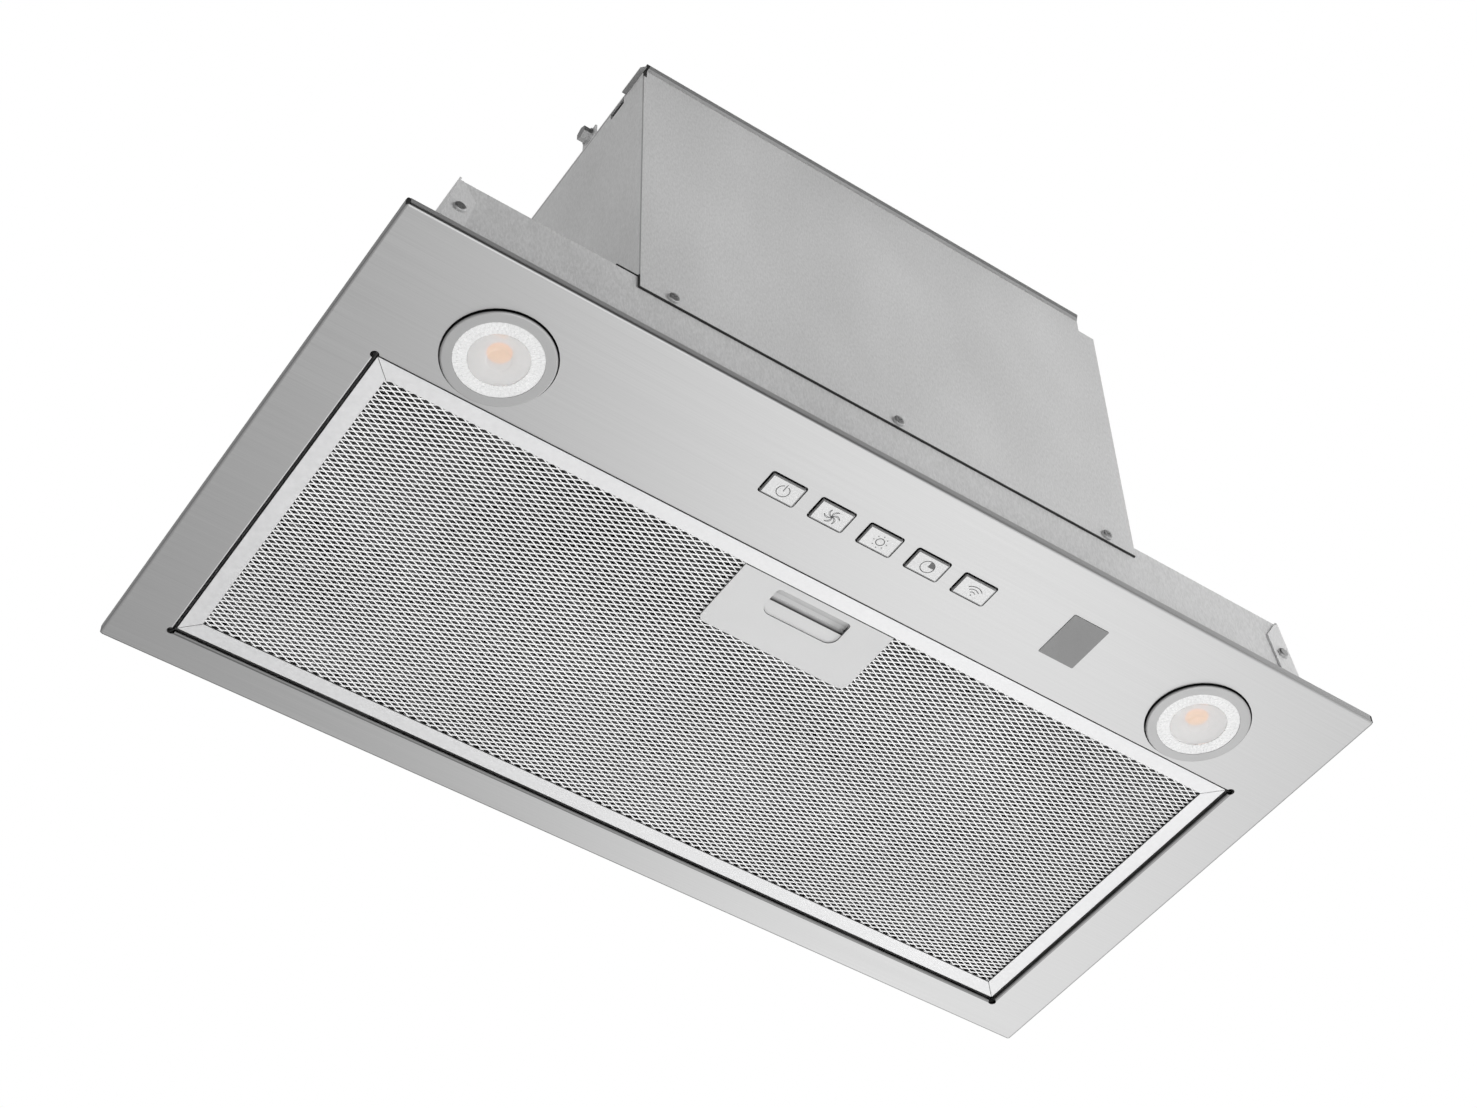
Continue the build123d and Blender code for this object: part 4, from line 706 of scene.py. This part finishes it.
# Lamp lenses: a faceted white ring round a clear dome, with a white bowl behind it
lampLens = {
    "places": {"left": (-194.0, -95.0), "right": (194.0, -95.0)},
    "outer": 19.85, "inner": 13.7, "thick": 1.2, "rows": 3, "facets": 96,
    "facetEdge": 0.12, "facetHigh": 0.14,
    "domeSteps": [
        (1.2, 0.12), (1.8, 0.10), (2.2, 0.06), (2.4, 0.02), (0.5, -0.12), (0.5, -0.06), (2.2, 0.06),
    ],
    "domeGap": 0.05, "domeThick": 0.8, "ringRise": 0.3,
    "bowlOuter": 16.8, "bowlGap": 0.1,
    "bowlSteps": [(3.3, 0.0), (0.7, -0.5), (2.2, -1.1), (2.2, -0.8), (1.8, -0.5), (1.1, -0.2)],
    "bowlThick": 0.4,
    "chipOuter": 4.7, "chipDeep": 2.9, "chipThick": 0.3,
    "chipSteps": [(0.5, 0.35), (1.0, 0.3), (1.6, 0.2), (1.4, 0.06)],
    "discSides": 64, "ringCrease": 25,
}


def facetRing(name):
    s = lampLens
    clearSelection()
    bpy.ops.mesh.primitive_circle_add(vertices=s["facets"], radius=s["outer"] * mm, fill_type="NGON")
    ring = startPiece(name)
    wide = (s["outer"] - s["inner"]) / s["rows"]
    editAll(ring)
    for row in range(s["rows"]):
        bpy.ops.mesh.inset(thickness=wide * mm, depth=0)
    bpy.ops.mesh.delete(type="FACE")
    closeEdit()
    step = 2 * math.pi / s["facets"]

    def chequered(face):
        far = math.hypot(face.center.x, face.center.y) / mm
        row = int((s["outer"] - far) / wide)
        column = int(math.floor(math.atan2(face.center.y, face.center.x) / step))
        return (row + column) % 2 == 0

    editFaces(ring, chequered)
    bpy.ops.mesh.inset(thickness=s["facetEdge"] * mm, depth=s["facetHigh"] * mm, use_individual=True)
    closeEdit()
    wall = ring.modifiers.new("wall", "SOLIDIFY")
    wall.thickness = s["thick"] * mm
    wall.offset = -1
    applyModifiers(ring)
    return ring


def steppedDisc(name, radius, steps, thick, openMiddle):
    clearSelection()
    bpy.ops.mesh.primitive_circle_add(vertices=lampLens["discSides"], radius=radius * mm, fill_type="NGON")
    disc = startPiece(name)
    editAll(disc)
    for across, deep in steps:
        bpy.ops.mesh.inset(thickness=across * mm, depth=deep * mm)
    if openMiddle:
        bpy.ops.mesh.delete(type="FACE")
    closeEdit()
    wall = disc.modifiers.new("wall", "SOLIDIFY")
    wall.thickness = thick * mm
    wall.offset = -1
    applyModifiers(disc)
    return disc


def placeUnder(piece, x, y, z):  # turns the drawn side down and puts it in its place
    piece.rotation_euler = (math.pi, 0, 0)
    piece.location = (x * mm, y * mm, z * mm)
    settle(piece)


for side, (lampX, lampY) in lampLens["places"].items():
    lensLow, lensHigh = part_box("bulb_lens_" + side)
    rimLow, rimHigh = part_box("bulb_" + side)
    lensFace = rimLow.z / mm + lampLens["ringRise"]
    bowlFace = lensHigh.z / mm + lampLens["bowlGap"]
    ring = facetRing("lensRing_" + side)
    placeUnder(ring, lampX, lampY, lensFace)
    smooth(ring, lampLens["ringCrease"])
    dress(ring, finishes["lamp_lens"], "lamp_" + side, "lamp_lens", "bulb_lens_" + side)
    domeOuter = lampLens["inner"] - lampLens["domeGap"]
    dome = steppedDisc("lensDome_" + side, domeOuter, lampLens["domeSteps"], lampLens["domeThick"], False)
    placeUnder(dome, lampX, lampY, lensFace)
    smooth(dome, creaseAngle)
    dress(dome, finishes["lens_clear"], "lamp_" + side, "lamp_lens")
    bowl = steppedDisc(
        "lampBowl_" + side, lampLens["bowlOuter"], lampLens["bowlSteps"], lampLens["bowlThick"], True
    )
    placeUnder(bowl, lampX, lampY, bowlFace)
    smooth(bowl, creaseAngle)
    dress(bowl, finishes["lamp_bowl"], "lamp_" + side, "socket_ceramic")
    chip = steppedDisc(
        "lampChip_" + side, lampLens["chipOuter"], lampLens["chipSteps"], lampLens["chipThick"], False
    )
    placeUnder(chip, lampX, lampY, bowlFace + lampLens["chipDeep"])
    smooth(chip, creaseAngle)
    dress(chip, finishes["lamp_chip"], "lamp_" + side, "lamp_chip")
print("lamps made")


# Button signs: thin raised marks on the button faces
signs = {
    "row": (-53.1, -102.8), "pitch": 26.55, "face": -1.3, "high": 0.03, "stroke": 0.46,
    "powerRadius": 3.1, "powerGap": 36.0, "powerBar": (0.1, 4.2),
    "bladeCount": 6, "bladeReach": 4.0, "bladeStroke": 0.3, "bladeSweeps": (100, 150),
    "sunRadius": 2.0, "rayRadius": 3.5, "rayCount": 8, "rayLong": 0.75,
    "timerRadius": 3.4, "wedgeReach": 3.25, "wedgeHub": 0.1,
    "waveRadii": (1.9, 3.6, 5.3), "waveSweep": 92.0, "waveDrop": 2.7,
    "dotRadius": 0.2, "dotStroke": 0.36, "arcStep": 9, "endRound": 0.4,
}


def arcBand(centre, radius, stroke, start, sweep):  # a flat band along part of a circle, in degrees
    clearSelection()
    bpy.ops.mesh.primitive_plane_add(size=1, rotation=(math.pi / 2, 0, 0))
    band = startPiece("band")
    band.scale = (stroke * mm, signs["high"] * mm, 1)
    settle(band)
    band.location = (radius * mm, 0, 0)
    settle(band)
    whole = sweep >= 360
    editAll(band)
    if whole:
        bpy.ops.mesh.delete(type="ONLY_FACE")
        bpy.ops.mesh.select_all(action="SELECT")
    steps = max(3, int(math.ceil(sweep / signs["arcStep"])))
    bpy.ops.mesh.spin(steps=steps, angle=-math.radians(sweep), center=(0, 0, 0), axis=(0, 0, 1))
    bpy.ops.mesh.select_all(action="SELECT")
    bpy.ops.mesh.remove_doubles(threshold=0.000001)
    bpy.ops.mesh.normals_make_consistent(inside=False)
    closeEdit()
    band.rotation_euler = (0, 0, math.radians(start))
    band.location = (centre[0] * mm, centre[1] * mm, 0)
    settle(band)
    return band


def shortBar(centre, long, stroke, turn):  # a bar with rounded ends, along its turn in degrees
    clearSelection()
    bpy.ops.mesh.primitive_cube_add(size=1)
    bar = startPiece("bar")
    bar.scale = (long * mm, stroke * mm, signs["high"] * mm)
    settle(bar)
    editEdges(bar, lambda a, b: abs(a.z - b.z) > 0.5 * signs["high"] * mm)
    bpy.ops.mesh.bevel(offset=signs["endRound"] * stroke * mm, segments=3, affect="EDGES")
    closeEdit()
    bar.rotation_euler = (0, 0, math.radians(turn))
    bar.location = (centre[0] * mm, centre[1] * mm, 0)
    settle(bar)
    return bar


def onCircle(radius, angle):
    return (radius * math.cos(math.radians(angle)), radius * math.sin(math.radians(angle)))


def powerSign():
    gap = signs["powerGap"]
    low, high = signs["powerBar"]
    return [
        arcBand((0, 0), signs["powerRadius"], signs["stroke"], 90 + gap / 2, 360 - gap),
        shortBar((0, (low + high) / 2), high - low, signs["stroke"], 90),
    ]


def fanSign():
    marks = []
    for blade in range(signs["bladeCount"]):
        turn = blade * 360 / signs["bladeCount"]
        reach = signs["bladeReach"] / 2
        for sweep in signs["bladeSweeps"]:
            # both arcs run from the hub to the blade's tip, one flatter than the other
            radius = reach / math.sin(math.radians(sweep / 2))
            sag = radius * math.cos(math.radians(sweep / 2))
            middle = onCircle(reach, turn)
            side = onCircle(sag, turn - 90)
            centre = (middle[0] + side[0], middle[1] + side[1])
            marks.append(arcBand(centre, radius, signs["bladeStroke"], turn + 90 - sweep / 2, sweep))
    return marks


def lightSign():
    marks = [arcBand((0, 0), signs["sunRadius"], signs["stroke"], 0, 360)]
    for ray in range(signs["rayCount"]):
        angle = ray * 360 / signs["rayCount"]
        middle = onCircle(signs["rayRadius"], angle)
        marks.append(shortBar(middle, signs["rayLong"], signs["stroke"], angle))
    return marks


def timerSign():
    wedgeMiddle = (signs["wedgeReach"] + signs["wedgeHub"]) / 2
    return [
        arcBand((0, 0), signs["timerRadius"], signs["stroke"], 0, 360),
        arcBand((0, 0), wedgeMiddle, signs["wedgeReach"] - signs["wedgeHub"], 0, 90),
    ]


def wirelessSign():
    centre = (0, -signs["waveDrop"])
    start = 90 - signs["waveSweep"] / 2
    marks = [arcBand(centre, r, signs["stroke"], start, signs["waveSweep"]) for r in signs["waveRadii"]]
    marks.append(arcBand(centre, signs["dotRadius"], signs["dotStroke"], 0, 360))
    return marks


signMakers = [
    ("power_button", powerSign), ("fan_button", fanSign), ("light_button", lightSign),
    ("timer_button", timerSign), ("wireless_button", wirelessSign),
]
for place, (button, drawSign) in enumerate(signMakers):
    sign = joinPieces(drawSign(), button.replace("button", "sign"))
    signX = signs["row"][0] + place * signs["pitch"]
    placeUnder(sign, signX, signs["row"][1], signs["face"] - signs["high"] / 2)
    dress(sign, finishes["icon_grey"], button, "grey_plastic")
print("button signs made")


# Screws: a pan head with a cross recess, one for each solid of the node that it stands for
screwHead = {
    "edge": 0.6, "edgeSteps": 4, "head": 1.6, "shank": 1.5, "sides": 28, "crease": 35,
    "crossLong": 3.3, "crossWide": 0.75, "crossDeep": 0.9, "crossTurns": (45, 135),
}


def solidBoxes(node):  # the boxes of a node's separate solids
    mesh = cadNodes[node].data
    parent = {}

    def find(key):
        while parent[key] != key:
            parent[key] = parent[parent[key]]
            key = parent[key]
        return key

    keys = [tuple(round(c * 1e5) for c in v.co) for v in mesh.vertices]
    for key in keys:
        parent.setdefault(key, key)
    for face in mesh.polygons:
        first = find(keys[face.vertices[0]])
        for i in face.vertices[1:]:
            parent[find(keys[i])] = first
    groups = {}
    for key, vertex in zip(keys, mesh.vertices):
        groups.setdefault(find(key), []).append(vertex.co)
    boxes = []
    for points in groups.values():
        low = Vector([min(p[i] for p in points) for i in range(3)])
        high = Vector([max(p[i] for p in points) for i in range(3)])
        boxes.append((low, high))
    return sorted(boxes, key=lambda box: tuple(box[0]))


def crossScrew(name, radius, length):  # stands on its seat at the origin, head up
    s = screwHead
    clearSelection()
    bpy.ops.mesh.primitive_cylinder_add(
        vertices=s["sides"], radius=radius, depth=s["head"] * mm, location=(0, 0, s["head"] / 2 * mm)
    )
    screw = startPiece(name)
    settle(screw)
    top = s["head"] * mm - 1e-6
    editEdges(screw, lambda a, b: a.z > top and b.z > top)
    bpy.ops.mesh.bevel(offset=s["edge"] * mm, segments=s["edgeSteps"], affect="EDGES")
    closeEdit()
    editFaces(screw, lambda face: face.normal.z < -0.9)
    bpy.ops.mesh.inset(thickness=radius - s["shank"] * mm, depth=0)
    bpy.ops.mesh.extrude_region_move(TRANSFORM_OT_translate={"value": (0, 0, -(length - s["head"] * mm))})
    closeEdit()
    arms = []
    for turn in s["crossTurns"]:
        clearSelection()
        bpy.ops.mesh.primitive_cube_add(size=1)
        arm = startPiece("crossArm")
        arm.scale = (s["crossLong"] * mm, s["crossWide"] * mm, 2 * s["crossDeep"] * mm)
        arm.rotation_euler = (0, 0, math.radians(turn))
        arm.location = (0, 0, s["head"] * mm)
        settle(arm)
        arms.append(arm)
    for arm in arms:
        recess = screw.modifiers.new("recess", "BOOLEAN")
        recess.operation = "DIFFERENCE"
        recess.object = arm
        applyModifiers(screw)
    for arm in arms:
        bpy.data.objects.remove(arm)
    return screw


def screwsFor(node, body, axis, name):
    made = []
    for low, high in solidBoxes(node):
        size = high - low
        middle = (low + high) / 2
        if axis == "up":
            screw = crossScrew("screw", size.x / 2, size.z)
            screw.location = (middle.x, middle.y, high.z - screwHead["head"] * mm)
        else:  # the head points to the front
            screw = crossScrew("screw", size.x / 2, size.y)
            screw.rotation_euler = (math.pi / 2, 0, 0)
            screw.location = (middle.x, low.y + screwHead["head"] * mm, middle.z)
        settle(screw)
        made.append(screw)
    screws = joinPieces(made, name)
    smooth(screws, screwHead["crease"])
    dress(screws, finishes["zinc_fastener"], body, "zinc_fastener", node)


screwsFor("front_panel_screws", "hood", "front", "panelScrews")
screwsFor("lid_screws", "hood", "up", "lidScrews")
screwsFor("collar_screws", "hood", "up", "collarScrews")
print("screws made")


# Panel shade: a thin black strip under the front panel, up its left edge and along the roof, put there as
# painted shade in the gap
panelShadeStrip = {
    "front": -123.0, "back": -122.0, "half": 142.0, "low": 60.2, "high": 61.0,
    "upTo": 69.6, "upWide": 0.8, "roofLow": 69.0, "roofHigh": 69.7, "roofLong": 12.0,
    "roofFront": 0.2, "roofBack": 0.6, "round": 0.12,
}


def darkStripBox(low, high):
    clearSelection()
    bpy.ops.mesh.primitive_cube_add(size=1)
    strip = startPiece("strip")
    strip.scale = [(b - a) * mm for a, b in zip(low, high)]
    strip.location = [(a + b) / 2 * mm for a, b in zip(low, high)]
    settle(strip)
    editEdges(strip, lambda a, b: True)
    bpy.ops.mesh.bevel(offset=panelShadeStrip["round"] * mm, segments=2, affect="EDGES")
    closeEdit()
    return strip


def makePanelShade():
    s = panelShadeStrip
    bottom = darkStripBox((-s["half"], s["front"], s["low"]), (s["half"], s["back"], s["high"]))
    side = darkStripBox((-s["half"] - s["upWide"], s["front"], s["low"]), (-s["half"], s["back"], s["upTo"]))
    roof = darkStripBox(
        (-s["half"] - s["roofLong"], s["back"] - s["roofFront"], s["roofLow"]),
        (-s["half"], s["back"] + s["roofBack"], s["roofHigh"]),
    )
    shadeStrip = joinPieces([bottom, side, roof], "panelShadeStrip")
    smooth(shadeStrip, creaseAngle)
    dress(shadeStrip, finishes["rubber_mount"], "hood", "rubber_mount")


makePanelShade()
# Panel shadow line: a thin grey strip along the front panel's left edge, painted shadow
panelShadowLine = {"left": -142.25, "right": -141.95, "front": -123.0, "back": -122.0, "low": 69.6, "high": 239.0}
shadowLine = darkStripBox(
    (panelShadowLine["left"], panelShadowLine["front"], panelShadowLine["low"]),
    (panelShadowLine["right"], panelShadowLine["back"], panelShadowLine["high"]),
)
startPiece("panelShadowLine")
smooth(shadowLine, creaseAngle)
dress(shadowLine, finishes["grey_plastic"], "hood", "grey_plastic")
print("panel seal made")


# Corner shade: black blocks in the notches where two turned edges meet, painted shade in those notches
cornerShadeSizes = {
    "reach": (265.0, 141.0), "rimLow": 0.9, "rimHigh": 4.7, "rimSide": 1.7, "rimRound": 0.9,
    "slots": [  # low and high corner of each
        ((-142.2, -126.0, 245.05), (-140.4, -122.0, 245.9)),  # between the lips of the panel and the wrap
        ((-142.0, -122.9, 239.0), (-140.4, -122.05, 245.0)),  # the panel's corner relief
        ((-141.0, -105.5, 238.5), (-140.4, -91.5, 244.9)),  # behind the wrap's notch
    ],
    "slotEdge": 0.05, "rimSteps": 4, "slotSteps": 2,
}


def darkBlock(name, low, high, corner, cut, steps):  # a block with one upright edge cut off
    clearSelection()
    bpy.ops.mesh.primitive_cube_add(size=1)
    block = startPiece(name)
    block.scale = [(b - a) * mm for a, b in zip(low, high)]
    block.location = [(a + b) / 2 * mm for a, b in zip(low, high)]
    settle(block)
    spot = Vector((corner[0] * mm, corner[1] * mm))
    editEdges(block, lambda a, b: (a.xy - spot).length < 1e-5 and (b.xy - spot).length < 1e-5)
    bpy.ops.mesh.bevel(offset=cut * mm, segments=steps, affect="EDGES")
    closeEdit()
    return block


def makeCornerShade():
    s = cornerShadeSizes
    shadePieces = []
    for sideX in (-1, 1):
        for sideY in (-1, 1):
            outer = (sideX * s["reach"][0], sideY * s["reach"][1])
            inner = (outer[0] - sideX * s["rimSide"], outer[1] - sideY * s["rimSide"])
            low = (min(outer[0], inner[0]), min(outer[1], inner[1]), s["rimLow"])
            high = (max(outer[0], inner[0]), max(outer[1], inner[1]), s["rimHigh"])
            shadePieces.append(darkBlock("shadeBlock", low, high, outer, s["rimRound"], s["rimSteps"]))
    for low, high in s["slots"]:
        shadePieces.append(darkBlock("shadeBlock", low, high, low, s["slotEdge"], s["slotSteps"]))
    piece = joinPieces(shadePieces, "cornerShadeBlocks")
    smooth(piece, creaseAngle)
    dress(piece, finishes["rubber_mount"], "hood", "rubber_mount")


makeCornerShade()
print("corner folds made")

# Handle shade: a dark strip sunk in the gap between the front rail and the latch plate, painted shade in
# that gap
handleShadeStrip = {"half": 41.4, "front": -58.0, "back": -57.35, "low": 0.97, "high": 1.8}
shadeStrip = darkStripBox(
    (-handleShadeStrip["half"], handleShadeStrip["front"], handleShadeStrip["low"]),
    (handleShadeStrip["half"], handleShadeStrip["back"], handleShadeStrip["high"]),
)
startPiece("handleShadeStrip")
smooth(shadeStrip, creaseAngle)
dress(shadeStrip, finishes["rubber_mount"], "filter", "rubber_mount")
print("handle seal made")

# Latch spring: a wire coil behind the tongue
latchSpring = {
    "front": -43.7, "back": -25.9, "high": 4.55, "radius": 0.98, "wire": 0.2, "wireSides": 8,
    "turns": 12, "stepsPerTurn": 16, "pressed": 0.76, "crease": 60,
}


def makeLatchSpring():
    s = latchSpring
    clearSelection()
    bpy.ops.mesh.primitive_circle_add(vertices=s["wireSides"], radius=s["wire"] * mm)
    spring = startPiece("latchSpring")
    spring.location = (s["radius"] * mm, 0, 0)
    settle(spring)
    coil = spring.modifiers.new("coil", "SCREW")
    coil.axis = "Y"
    coil.angle = s["turns"] * 2 * math.pi
    coil.screw_offset = (s["back"] - s["front"] - 2 * s["wire"]) * mm
    coil.steps = coil.render_steps = s["turns"] * s["stepsPerTurn"]
    bpy.ops.object.modifier_apply(modifier="coil")
    editAll(spring)
    bpy.ops.mesh.fill_holes(sides=s["wireSides"])
    bpy.ops.mesh.select_all(action="SELECT")
    bpy.ops.mesh.normals_make_consistent(inside=False)
    bpy.ops.object.mode_set(mode="OBJECT")
    spring.location = (0, (s["front"] + s["wire"]) * mm, s["high"] * mm)
    settle(spring)
    smooth(spring, s["crease"])
    dress(spring, finishes["zinc_fastener"], "filter", "zinc_fastener", "latch_spring")
    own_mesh(spring)
    return spring


latchCoil = makeLatchSpring()
print("latch spring made:", len(latchCoil.data.polygons))
